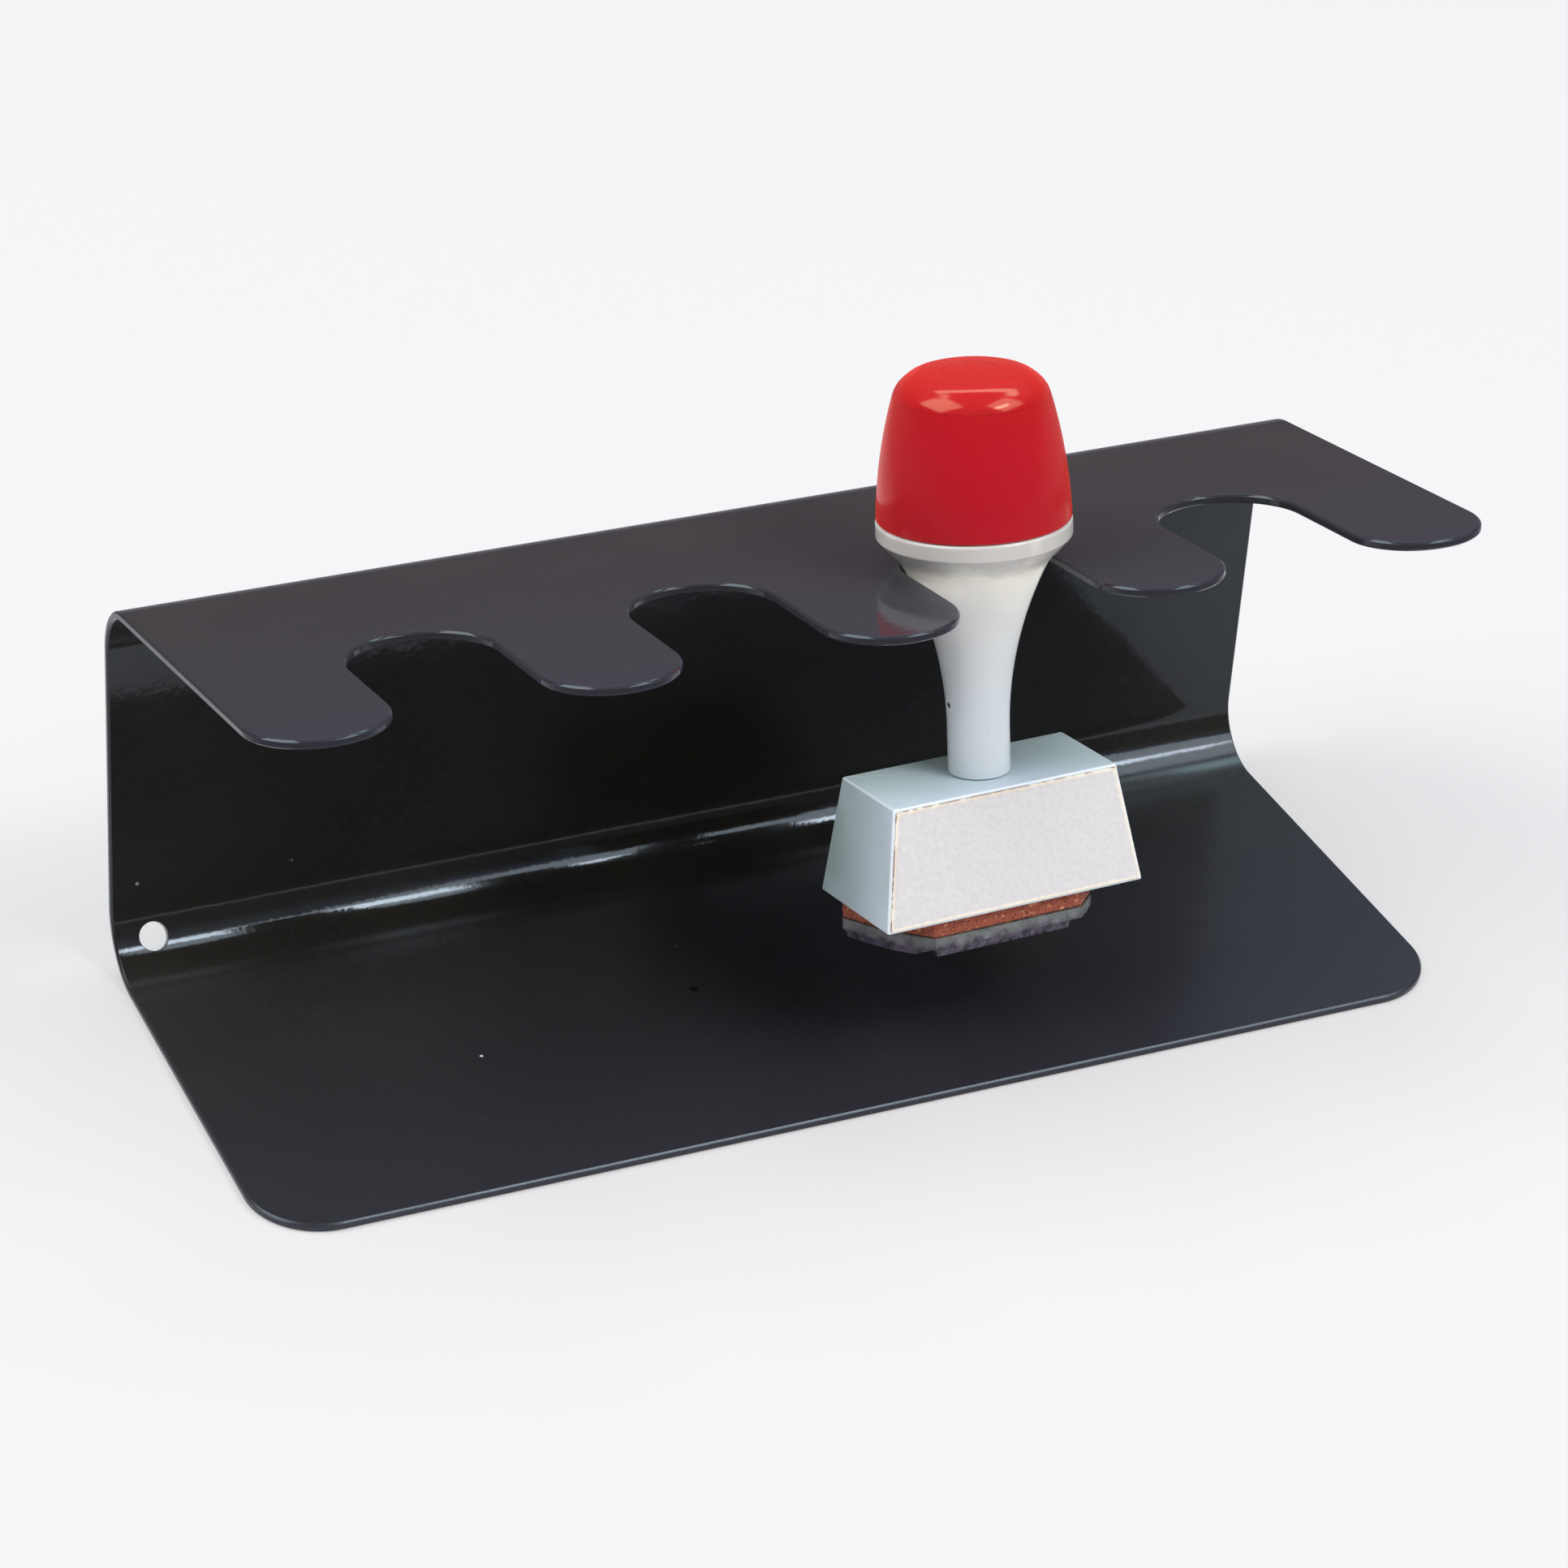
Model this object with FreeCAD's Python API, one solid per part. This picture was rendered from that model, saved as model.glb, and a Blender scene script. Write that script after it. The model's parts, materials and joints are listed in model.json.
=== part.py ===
import FreeCAD, Part
import math
import os

# Desk stamp rack: one folded steel sheet with four open slots, and a hand stamp hanging in the
# third slot. Millimetres. The rack stands on Z = 0, its length runs along X, its open side faces
# -Y. The origin is on the resting plane, in the middle of the rack's footprint.

# ---- rack sheet ---------------------------------------------------------------------------
sheet_thickness = 1.3
base_depth = 70.0
wall_height = 60.0        # base underside to where the outer faces of wall and shelf would meet
shelf_depth = 68.8        # from that same line to the finger tips, along the shelf's top face
shelf_tilt = 13.0         # degrees, the shelf rises towards its finger tips
bend_radius = 8.5         # inner radius of both folds
base_corner_radius = 10.5
edge_break = 0.25         # rounding that the paint leaves on every cut edge
slot_count = 4
slot_pitch = 40.0
slot_width = 20.6
slot_reach = 45.0         # from the fold line of the shelf to the centre of a slot's round end
end_finger_width = 19.7   # the two outer fingers
finger_tip_flat = 0.4     # straight part left between the two roundings of the narrowest finger
hanging_hole_diameter = 4.2
hanging_hole_inset = 5.8  # from the rack's left end
hanging_hole_angle = 35.0  # degrees round the lower fold, from the wall towards the base

# ---- where the stamp hangs ----------------------------------------------------------------
stamp_slot = 3            # counted from the left
stamp_turn = 2.4          # degrees that the stamp is turned in its slot
seat_clearance = 0.3      # round the neck where the slot holds it

# ---- handle, heights from the seat plane, which is the shelf's top face ----------------------
shaft_radius = 4.35
shaft_bottom_height = -30.3
shaft_straight_length = 6.3
lip_start_height = 2.4
rim_bottom_height = 4.1
rim_height = 2.3
rim_radius = 13.5
rim_rounding = 0.5
spigot_height = 5.0
handle_wall = 1.9
cup_floor_height = -4.0
cup_floor_margin = 1.1    # round the washer

# ---- cap ----------------------------------------------------------------------------------
cap_seat_gap = 0.1
cap_height = 20.8
cap_skirt_radius = 13.4
cap_shoulder_radius = 10.4
cap_shoulder_drop = 2.4
cap_belly = 0.62          # how far the side bulges from a straight cone
cap_rounding = 2.0
cap_wall = 1.7
gate_mark_radius = 3.8    # shallow round recess in the middle of the cap's top
gate_mark_depth = 0.15
spigot_fit = 0.08         # radial clearance of the cap on the spigot

# ---- screw, washer and nut --------------------------------------------------------------------
screw_diameter = 4.0
screw_head_diameter = 8.0
screw_head_height = 2.8
screw_head_rounding = 0.9
screw_tip_stand = 0.3     # how far the screw comes out below the nut
screw_slot_width = 1.0
screw_slot_depth = 1.2
washer_diameter = 9.0
washer_thickness = 0.8
screw_hole_clearance = 0.25  # round the screw, in the handle and in the block
thread_fit = 0.06         # radial clearance between the screw and the nut or washer
nut_across_flats = 7.0
nut_height = 3.2
nut_fit = 0.1             # on each flat of the nut's pocket
nut_pocket_depth = 7.75   # from the block's underside to the top of the nut

# ---- mount block, label, cushion and die --------------------------------------------------------
shoulder_gap = 0.15       # between the shaft's end and the block
block_top_length = 35.0
block_top_width = 15.5
block_bottom_length = 40.2
block_bottom_width = 20.2
block_height = 17.0
block_edge_rounding = 0.3
label_margin = 0.05       # inside the flat of the block's front face
label_thickness = 0.2
tape_thickness = 0.2
cushion_thickness = 2.4
die_plate_thickness = 1.6
die_relief_height = 1.2
die_left_margin = 0.7     # from the block's lower edges, the die is glued off the middle
die_right_margin = 5.5
die_side_margin = 1.5
die_corner_cut = 3.5
die_left_cut = 7.4        # the long trimming cut at the front left corner, in two strokes
die_knee_inset = 3.1      # where the two strokes meet, from the die's left and front edges
die_knee_rise = 5.8
die_relief_inset = 0.4
die_border = 1.0
die_line_width = 1.3
die_line_count = 3

# ---- working values of the modelling itself -------------------------------------------------------
cutter_overrun = 2.0      # how far a cutter passes the faces that it cuts
tolerance = 1e-4
square_limit = 0.5        # two faces meet squarely where their normals' product is under this

# ---- worked out from the sizes above ------------------------------------------------------------
tilt = math.radians(shelf_tilt)
slot_radius = slot_width / 2.0
half_length = ((slot_count - 1) * slot_pitch + slot_width) / 2.0 + end_finger_width
finger_tip_radius = (min(slot_pitch - slot_width, end_finger_width) - finger_tip_flat) / 2.0
wall_back = base_depth / 2.0
base_front = wall_back - base_depth
fold_line = FreeCAD.Vector(0, wall_back, wall_height)
shelf_along = FreeCAD.Vector(0, -math.cos(tilt), math.sin(tilt))
shelf_normal = FreeCAD.Vector(0, math.sin(tilt), math.cos(tilt))
neck_seat_radius = slot_radius - seat_clearance
shaft_top_height = shaft_bottom_height + shaft_straight_length
flare_run = -shaft_top_height
flare_gain = neck_seat_radius - shaft_radius
flare_radius = (flare_run ** 2 + flare_gain ** 2) / (2.0 * flare_gain)
rim_top_height = rim_bottom_height + rim_height
spigot_radius = cap_skirt_radius - cap_wall - spigot_fit
cup_floor_radius = washer_diameter / 2.0 + cup_floor_margin
screw_hole_radius = screw_diameter / 2.0 + screw_hole_clearance
block_top_height = shaft_bottom_height - shoulder_gap
block_bottom_height = block_top_height - block_height
head_seat_height = cup_floor_height + washer_thickness
nut_top_height = block_bottom_height + nut_pocket_depth
screw_tip_height = nut_top_height - nut_height - screw_tip_stand
screw_length = head_seat_height - screw_tip_height
cushion_top_height = block_bottom_height - tape_thickness
cushion_bottom_height = cushion_top_height - cushion_thickness
die_top_height = cushion_bottom_height - tape_thickness
die_length = block_bottom_length - die_left_margin - die_right_margin
die_width = block_bottom_width - 2.0 * die_side_margin


def vec(x, y, z):
    return FreeCAD.Vector(x, y, z)


def slot_centre(number):
    """X of the middle of a slot, slots numbered from 1 at the left."""
    return (number - (slot_count + 1) / 2.0) * slot_pitch


def on_shelf(x, reach, lift):
    """Point over the shelf: reach from the fold line along it, lift square to its top face."""
    return fold_line + vec(x, 0, 0) + shelf_along * reach + shelf_normal * lift


def flat_wire(points):
    return Part.makePolygon(points + [points[0]])


def prism(points, direction):
    return Part.Face(flat_wire(points)).extrude(direction)


def turned(edges):
    """Solid turned about Z from a closed run of edges in the XZ plane."""
    face = Part.Face(Part.Wire(edges))
    return face.revolve(vec(0, 0, 0), vec(0, 0, 1), 360)


def line(start, end):
    return Part.makeLine(vec(start[0], 0, start[1]), vec(end[0], 0, end[1]))


def arc(start, middle, end):
    points = [vec(p[0], 0, p[1]) for p in (start, middle, end)]
    return Part.Arc(*points).toShape()


def disc(radius, low, height):
    return Part.makeCylinder(radius, height, vec(0, 0, low))


def edges_where(shape, test):
    return [edge for edge in shape.Edges if test(edge)]


def edge_ends(edge):
    return edge.valueAt(edge.FirstParameter), edge.valueAt(edge.LastParameter)


def runs_along(edge, direction):
    first, last = edge_ends(edge)
    run = last - first
    return run.Length > tolerance and run.cross(direction).Length < tolerance * run.Length


def save(shape, name):
    solids = shape.Solids
    result = solids[0] if len(solids) == 1 else Part.makeCompound(solids)
    result.exportStep("parts/" + name + ".step")
    print(name, "solids", len(solids), "volume", round(result.Volume, 1), "valid", result.isValid())


# ---- rack ---------------------------------------------------------------------------------
def folded_strip():
    """Base, wall and shelf as one strip of constant thickness, folded twice with round bends."""
    inner_wall = wall_back - sheet_thickness
    inner_rise = (sheet_thickness * math.tan(tilt) - sheet_thickness / math.cos(tilt))
    inner_fold = vec(0, inner_wall, wall_height + inner_rise)
    tip = on_shelf(0, shelf_depth, 0)
    profile = [
        vec(0, base_front, 0), vec(0, wall_back, 0), fold_line, tip,
        tip - shelf_normal * sheet_thickness, inner_fold,
        vec(0, inner_wall, sheet_thickness), vec(0, base_front, sheet_thickness)]
    start = vec(-half_length, 0, 0)
    strip = prism([point + start for point in profile], vec(2.0 * half_length, 0, 0))
    outer = [vec(0, wall_back, 0), fold_line]
    inner = [vec(0, inner_wall, sheet_thickness), inner_fold]
    for corners, radius in ((outer, bend_radius + sheet_thickness), (inner, bend_radius)):
        for corner in corners:
            found = edges_where(strip, lambda e: on_x_line(e, corner))
            strip = strip.makeFillet(radius, found)
    return strip


def on_x_line(edge, corner):
    first, last = edge_ends(edge)
    return all((vec(0, p.y, p.z) - corner).Length < tolerance for p in (first, last))


def slot_cutter(number):
    """U-shaped cutter square to the shelf, its round end nearest the wall."""
    x = slot_centre(number)
    low = -sheet_thickness - cutter_overrun
    height = sheet_thickness + 2.0 * cutter_overrun
    beyond = shelf_depth + cutter_overrun
    centre = on_shelf(x, slot_reach, low)
    round_end = Part.makeCylinder(slot_radius, height, centre, shelf_normal)
    sides = [(-slot_radius, slot_reach), (slot_radius, slot_reach),
             (slot_radius, beyond), (-slot_radius, beyond)]
    open_end = prism([on_shelf(x + dx, reach, low) for dx, reach in sides], shelf_normal * height)
    return round_end.fuse(open_end).removeSplitter()


def hanging_hole_axis():
    """A point on the hole's axis, at the middle of the lower fold's round, and its direction."""
    swing = math.radians(hanging_hole_angle)
    outward = vec(0, math.cos(swing), -math.sin(swing))
    bend_centre = vec(hanging_hole_inset - half_length,
                      wall_back - sheet_thickness - bend_radius, sheet_thickness + bend_radius)
    return bend_centre + outward * (bend_radius + sheet_thickness / 2.0), outward


def rack_sheet():
    sheet = folded_strip()
    for number in range(1, slot_count + 1):
        sheet = sheet.cut(slot_cutter(number))
    corners = edges_where(sheet, lambda e: runs_along(e, vec(0, 0, 1)) and
                          abs(edge_ends(e)[0].y - base_front) < tolerance)
    sheet = sheet.makeFillet(base_corner_radius, corners)
    tip_plane = on_shelf(0, shelf_depth, 0)
    tips = edges_where(sheet, lambda e: runs_along(e, shelf_normal) and
                       abs((edge_ends(e)[0] - tip_plane).dot(shelf_along)) < tolerance)
    sheet = sheet.makeFillet(finger_tip_radius, tips)
    middle, outward = hanging_hole_axis()
    reach = sheet_thickness / 2.0 + cutter_overrun
    drill = Part.makeCylinder(hanging_hole_diameter / 2.0, 2.0 * reach,
                              middle - outward * reach, outward)
    sheet = sheet.cut(drill)
    return broken_edges(sheet)


def broken_edges(sheet):
    """Round every edge between a face of the sheet and the cut edge all the way round it."""
    rim = edges_where(sheet, lambda e: is_cut_edge(sheet, e))
    return sheet.makeFillet(edge_break, rim)


def is_cut_edge(sheet, edge):
    """True where the two faces that meet at this edge are square to each other."""
    faces = sheet.ancestorsOfType(edge, Part.Face)
    if len(faces) != 2:
        return False
    middle = edge.valueAt((edge.FirstParameter + edge.LastParameter) / 2.0)
    normals = []
    for face in faces:
        u, v = face.Surface.parameter(middle)
        normals.append(face.normalAt(u, v))
    return abs(normals[0].dot(normals[1])) < square_limit


# ---- stamp, modelled upright about Z with the seat plane at height 0 --------------------------------
def flare_radius_at(height):
    """Neck radius at a height: one arc, tangent to the shaft and meeting the seat radius at 0."""
    run = height - shaft_top_height
    return shaft_radius + flare_radius - math.sqrt(flare_radius ** 2 - run ** 2)


def handle():
    lip_radius = flare_radius_at(lip_start_height)
    half_way = (shaft_top_height + lip_start_height) / 2.0
    rounded = rim_rounding * (1.0 - math.sqrt(0.5))
    bore = screw_hole_radius
    spigot_top = rim_top_height + spigot_height
    cup_radius = spigot_radius - handle_wall
    edges = [
        line((bore, shaft_bottom_height), (shaft_radius, shaft_bottom_height)),
        line((shaft_radius, shaft_bottom_height), (shaft_radius, shaft_top_height)),
        arc((shaft_radius, shaft_top_height), (flare_radius_at(half_way), half_way),
            (lip_radius, lip_start_height)),
        line((lip_radius, lip_start_height), (rim_radius, rim_bottom_height)),
        line((rim_radius, rim_bottom_height), (rim_radius, rim_top_height - rim_rounding)),
        arc((rim_radius, rim_top_height - rim_rounding),
            (rim_radius - rounded, rim_top_height - rounded),
            (rim_radius - rim_rounding, rim_top_height)),
        line((rim_radius - rim_rounding, rim_top_height), (spigot_radius, rim_top_height)),
        line((spigot_radius, rim_top_height), (spigot_radius, spigot_top)),
        line((spigot_radius, spigot_top), (cup_radius, spigot_top)),
        line((cup_radius, spigot_top), (cup_radius, rim_bottom_height)),
        line((cup_radius, rim_bottom_height), (cup_floor_radius, cup_floor_height)),
        line((cup_floor_radius, cup_floor_height), (bore, cup_floor_height)),
        line((bore, cup_floor_height), (bore, shaft_bottom_height))]
    return turned(edges)


def side_arc(low, high, belly):
    """Arc between two (radius, height) points, bulging outwards by belly at its middle."""
    run = (high[0] - low[0], high[1] - low[1])
    length = math.hypot(run[0], run[1])
    middle = ((low[0] + high[0]) / 2.0 + belly * run[1] / length,
              (low[1] + high[1]) / 2.0 - belly * run[0] / length)
    return arc(low, middle, high)


def cap():
    bottom = rim_top_height + cap_seat_gap
    top = bottom + cap_height
    shoulder_height = top - cap_shoulder_drop
    shell = turned([
        line((0, bottom), (cap_skirt_radius, bottom)),
        side_arc((cap_skirt_radius, bottom), (cap_shoulder_radius, shoulder_height), cap_belly),
        line((cap_shoulder_radius, shoulder_height), (cap_shoulder_radius - cap_shoulder_drop, top)),
        line((cap_shoulder_radius - cap_shoulder_drop, top), (gate_mark_radius, top)),
        line((gate_mark_radius, top), (gate_mark_radius, top - gate_mark_depth)),
        line((gate_mark_radius, top - gate_mark_depth), (0, top - gate_mark_depth)),
        line((0, top - gate_mark_depth), (0, bottom))])
    rings = edges_where(shell, lambda e: is_level(e) and e.BoundBox.ZMin > shoulder_height - tolerance and
                        e.BoundBox.XLength > 2.0 * gate_mark_radius + tolerance)
    shell = shell.makeFillet(cap_rounding, rings)
    bore_radius = spigot_radius + spigot_fit
    bore_top = rim_top_height + spigot_height + cap_seat_gap
    mouth = bottom - cutter_overrun
    ceiling = top - cap_wall
    hollow_top = (cap_shoulder_radius - cap_wall, shoulder_height - cap_wall)
    hollow = turned([
        line((0, mouth), (bore_radius, mouth)),
        line((bore_radius, mouth), (bore_radius, bore_top)),
        side_arc((bore_radius, bore_top), hollow_top, cap_belly),
        line(hollow_top, (hollow_top[0] - cap_shoulder_drop, ceiling)),
        line((hollow_top[0] - cap_shoulder_drop, ceiling), (0, ceiling)),
        line((0, ceiling), (0, mouth))])
    return shell.cut(hollow)


def is_level(edge):
    """True for a ring that lies at one height."""
    box = edge.BoundBox
    return box.ZLength < tolerance and box.XLength > tolerance


def handle_screw():
    """Pan-head screw that stands head up on the washer in the handle's cup."""
    head_top = head_seat_height + screw_head_height
    head = disc(screw_head_diameter / 2.0, head_seat_height, screw_head_height)
    top_edge = edges_where(head, lambda e: e.BoundBox.ZMin > head_top - tolerance)
    head = head.makeFillet(screw_head_rounding, top_edge)
    shank = disc(screw_diameter / 2.0, screw_tip_height, screw_length)
    slot_start = vec(-screw_head_diameter, -screw_slot_width / 2.0, head_top - screw_slot_depth)
    driver_slot = Part.makeBox(2.0 * screw_head_diameter, screw_slot_width,
                               screw_slot_depth + cutter_overrun, slot_start)
    return head.fuse(shank).removeSplitter().cut(driver_slot)


def threaded_hole(low, height):
    """Cutter for the plain hole that stands for a thread round the screw."""
    return disc(screw_diameter / 2.0 + thread_fit, low - cutter_overrun, height + 2.0 * cutter_overrun)


def screw_washer():
    washer = disc(washer_diameter / 2.0, cup_floor_height, washer_thickness)
    return washer.cut(threaded_hole(cup_floor_height, washer_thickness))


def hexagon(across_flats, low, height):
    corner = across_flats / 2.0 / math.cos(math.tau / 12)
    points = []
    for side in range(6):
        turn = math.tau * side / 6
        points.append(vec(corner * math.cos(turn), corner * math.sin(turn), low))
    return prism(points, vec(0, 0, height))


def mount_nut():
    low = nut_top_height - nut_height
    return hexagon(nut_across_flats, low, nut_height).cut(threaded_hole(low, nut_height))


def rectangle(length, width, height):
    return [vec(-length / 2.0, -width / 2.0, height), vec(length / 2.0, -width / 2.0, height),
            vec(length / 2.0, width / 2.0, height), vec(-length / 2.0, width / 2.0, height)]


def mount_block():
    """Block that spreads on all four sides towards the die, with a pocket for the nut below."""
    top = flat_wire(rectangle(block_top_length, block_top_width, block_top_height))
    bottom = flat_wire(rectangle(block_bottom_length, block_bottom_width, block_bottom_height))
    block = Part.makeLoft([bottom, top], True, True)
    block = block.makeFillet(block_edge_rounding, block.Edges)
    below = block_bottom_height - cutter_overrun
    screw_hole = disc(screw_hole_radius, below, block_height + 2.0 * cutter_overrun)
    pocket = hexagon(nut_across_flats + 2.0 * nut_fit, below, nut_pocket_depth + cutter_overrun)
    return block.cut(screw_hole).cut(pocket)


def title_label():
    """Thin card on the block's sloping front face."""
    slope = (block_bottom_width - block_top_width) / 2.0 / block_height
    lean = math.sqrt(1.0 + slope ** 2)
    inset = label_margin + block_edge_rounding
    sides = []
    for height in (block_bottom_height + inset, block_top_height - inset):
        drop = block_top_height - height
        share = drop / block_height
        half = (block_top_length + share * (block_bottom_length - block_top_length)) / 2.0 - inset
        front = -block_top_width / 2.0 - slope * drop
        sides.append([vec(-half, front, height), vec(half, front, height)])
    low, top = sides
    outward = vec(0, -1.0, slope) * (label_thickness / lean)
    return prism([low[0], low[1], top[1], top[0]], outward)


def die_outline(height, inset):
    """Rectangle with trimmed corners: a long double cut at the front left, short cuts elsewhere."""
    left = -block_bottom_length / 2.0 + die_left_margin + inset
    right = block_bottom_length / 2.0 - die_right_margin - inset
    front = -die_width / 2.0 + inset
    back = die_width / 2.0 - inset
    cut = die_corner_cut
    return [vec(left + die_left_cut, front, height), vec(right - cut, front, height),
            vec(right, front + cut, height), vec(right, back - cut, height),
            vec(right - cut, back, height), vec(left + cut, back, height),
            vec(left, back - cut, height),
            vec(left + die_knee_inset, front + die_knee_rise, height)]


def tape(top):
    return prism(die_outline(top - tape_thickness, 0.0), vec(0, 0, tape_thickness))


def cushion():
    return prism(die_outline(cushion_bottom_height, 0.0), vec(0, 0, cushion_thickness))


def rubber_die():
    """Rubber plate with a raised border and plain raised bars for the printing lines."""
    plate_low = die_top_height - die_plate_thickness
    plate = prism(die_outline(plate_low, 0.0), vec(0, 0, die_plate_thickness))
    relief_low = plate_low - die_relief_height
    outer = prism(die_outline(relief_low, die_relief_inset), vec(0, 0, die_relief_height))
    inner = prism(die_outline(relief_low, die_relief_inset + die_border), vec(0, 0, die_relief_height))
    relief = outer.cut(inner)
    bar_length = die_length - 2.0 * die_left_cut
    bar_pitch = (die_width - 2.0 * die_border) / (die_line_count + 1)
    bar_start = -block_bottom_length / 2.0 + die_left_margin + die_left_cut
    for index in range(die_line_count):
        y = (index - (die_line_count - 1) / 2.0) * bar_pitch
        bar = Part.makeBox(bar_length, die_line_width, die_relief_height,
                           vec(bar_start, y - die_line_width / 2.0, relief_low))
        relief = relief.fuse(bar)
    return plate.fuse(relief).removeSplitter()


def hung_in_slot(shape):
    """Turn, tilt and move an upright stamp piece to its place in the stamp's slot."""
    placed = shape.copy()
    turn = FreeCAD.Rotation(vec(0, 0, 1), stamp_turn)
    lean = FreeCAD.Rotation(vec(1, 0, 0), -shelf_tilt)
    seat = on_shelf(slot_centre(stamp_slot), slot_reach, 0)
    placed.Placement = FreeCAD.Placement(seat, lean.multiply(turn))
    return placed


os.makedirs("parts", exist_ok=True)
save(rack_sheet(), "rack_sheet")
save(hung_in_slot(handle()), "handle")
save(hung_in_slot(cap()), "cap")
save(hung_in_slot(handle_screw()), "handle_screw")
save(hung_in_slot(screw_washer()), "screw_washer")
save(hung_in_slot(mount_nut()), "mount_nut")
save(hung_in_slot(mount_block()), "mount_block")
save(hung_in_slot(title_label()), "title_label")
save(hung_in_slot(tape(block_bottom_height)), "mount_tape")
save(hung_in_slot(cushion()), "cushion")
save(hung_in_slot(tape(cushion_bottom_height)), "die_tape")
save(hung_in_slot(rubber_die()), "rubber_die")
seat_point = on_shelf(slot_centre(stamp_slot), slot_reach, 0)
hole_point, hole_direction = hanging_hole_axis()
print("seat", [round(v, 4) for v in seat_point], "axis", [round(v, 6) for v in shelf_normal])
print("slide", [round(v, 6) for v in shelf_along])
print("hole", [round(v, 4) for v in hole_point], [round(v, 6) for v in hole_direction])
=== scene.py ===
import bpy
import json
from math import asin, atan, atan2, ceil, copysign, cos, degrees, dist, hypot, pi, radians, remainder
from math import sin, sqrt, tan, tau
import random
from mathutils import Matrix, Vector, noise


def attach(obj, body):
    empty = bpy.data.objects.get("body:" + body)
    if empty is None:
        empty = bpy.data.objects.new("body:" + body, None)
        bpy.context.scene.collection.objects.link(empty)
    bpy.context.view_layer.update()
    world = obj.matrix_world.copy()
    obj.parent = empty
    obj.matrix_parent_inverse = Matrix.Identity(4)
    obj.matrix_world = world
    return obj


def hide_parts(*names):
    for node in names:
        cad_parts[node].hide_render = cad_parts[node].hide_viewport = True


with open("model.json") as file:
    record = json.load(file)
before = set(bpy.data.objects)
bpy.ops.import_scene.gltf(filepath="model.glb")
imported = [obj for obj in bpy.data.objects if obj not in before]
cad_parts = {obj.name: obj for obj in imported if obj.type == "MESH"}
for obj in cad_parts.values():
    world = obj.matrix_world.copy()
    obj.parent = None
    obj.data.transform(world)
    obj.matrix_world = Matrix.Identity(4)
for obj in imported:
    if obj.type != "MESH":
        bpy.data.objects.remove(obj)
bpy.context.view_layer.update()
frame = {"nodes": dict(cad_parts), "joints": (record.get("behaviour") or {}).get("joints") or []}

mm = 0.001
hardEdge = radians(50)  # edges that turn more than this stay sharp
square = ((-1, -1), (1, -1), (1, 1), (-1, 1))


# shared helpers for meshes and materials
def hexColour(code):  # sRGB hex to the linear colour that the shaders take
    channels = []
    for start in (0, 2, 4):
        value = int(code[start:start + 2], 16) / 255
        channels.append(value / 12.92 if value <= 0.04045 else ((value + 0.055) / 1.055) ** 2.4)
    return (*channels, 1.0)


presets = {"Mix": {"data_type": "RGBA"}}  # every mix here is of colours


# adds one node: settings and links go by socket name or number or the node's own property, a hex code for a
# socket is a colour, "stops" fills a ramp, and a link takes a socket or a node's first output in use
def addNode(tree, kind, settings=None, links=None):
    node = tree.nodes.new("ShaderNode" + kind)
    for key, value in {**presets.get(kind, {}), **(settings or {})}.items():
        if key == "stops":
            ramp = node.color_ramp.elements
            for index, (place, code) in enumerate(value):
                stop = ramp[index] if index < 2 else ramp.new(place)
                stop.position, stop.color = place, hexColour(code)
        elif isinstance(key, int) or key in node.inputs:
            node.inputs[key].default_value = hexColour(value) if isinstance(value, str) else value
        else:
            setattr(node, key, value)
    for key, source in (links or {}).items():
        if not isinstance(source, bpy.types.NodeSocket):
            source = next(socket for socket in source.outputs if socket.enabled)
        tree.links.new(source, node.inputs[key])
    return node


def emptyTree(owner):
    owner.use_nodes = True
    owner.node_tree.nodes.clear()
    return owner.node_tree


def newMaterial(name):  # its points are metres in the frame's axes, because pieces sit at the origin
    material = bpy.data.materials.new(name)
    tree = emptyTree(material)
    return material, tree, addNode(tree, "TexCoord").outputs["Object"]


# closes a material, with roughness from the look's rub and bumps from its layers unless they are given
def surfaced(material, point, look, colour, rough=None, normal=None):
    tree, links = material.node_tree, {"Base Color": colour}
    if rough or "rub" in look:
        links["Roughness"] = rough or drifting(tree, point, **look["rub"])
    if normal or "layers" in look:
        links["Normal"] = normal or relief(tree, point, look["layers"])
    shader = addNode(tree, "BsdfPrincipled", look["shader"], links)
    addNode(tree, "OutputMaterial", links={"Surface": shader})
    return material


def perMetre(sizeMm):  # a pattern's real size to a texture's scale
    return 1 / (sizeMm * mm)


def spread(start, end, steps):  # evenly spaced numbers with both ends
    return [start + (end - start) * step / steps for step in range(steps + 1)]


# a number drifting between low, where the noise is at start, and high, where it is at end
def drifting(tree, point, sizeMm, low=0.0, high=1.0, start=0.3, end=0.7, detail=2.0):
    cloud = addNode(tree, "TexNoise", {"Scale": perMetre(sizeMm), "Detail": detail}, {"Vector": point})
    limits = {"From Min": start, "From Max": end, "To Min": low, "To Max": high}
    return addNode(tree, "MapRange", limits, {"Value": cloud})


# tones in clouds of a real size
def clouded(tree, point, sizeMm, stops, detail=3.0, roughness=0.5):
    settings = {"Scale": perMetre(sizeMm), "Detail": detail, "Roughness": roughness}
    cloud = addNode(tree, "TexNoise", settings, {"Vector": point})
    return addNode(tree, "ValToRGB", {"stops": stops}, {"Fac": cloud})


# bumps on bumps: each layer has a size and a depth in mm, and a detail
def relief(tree, point, layers):
    links = {}
    for sizeMm, depthMm, detail in layers:
        settings = {"Scale": perMetre(sizeMm), "Detail": detail}
        links["Height"] = addNode(tree, "TexNoise", settings, {"Vector": point})
        links["Normal"] = addNode(tree, "Bump", {"Distance": depthMm * mm}, links)
    return links["Normal"]


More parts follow.
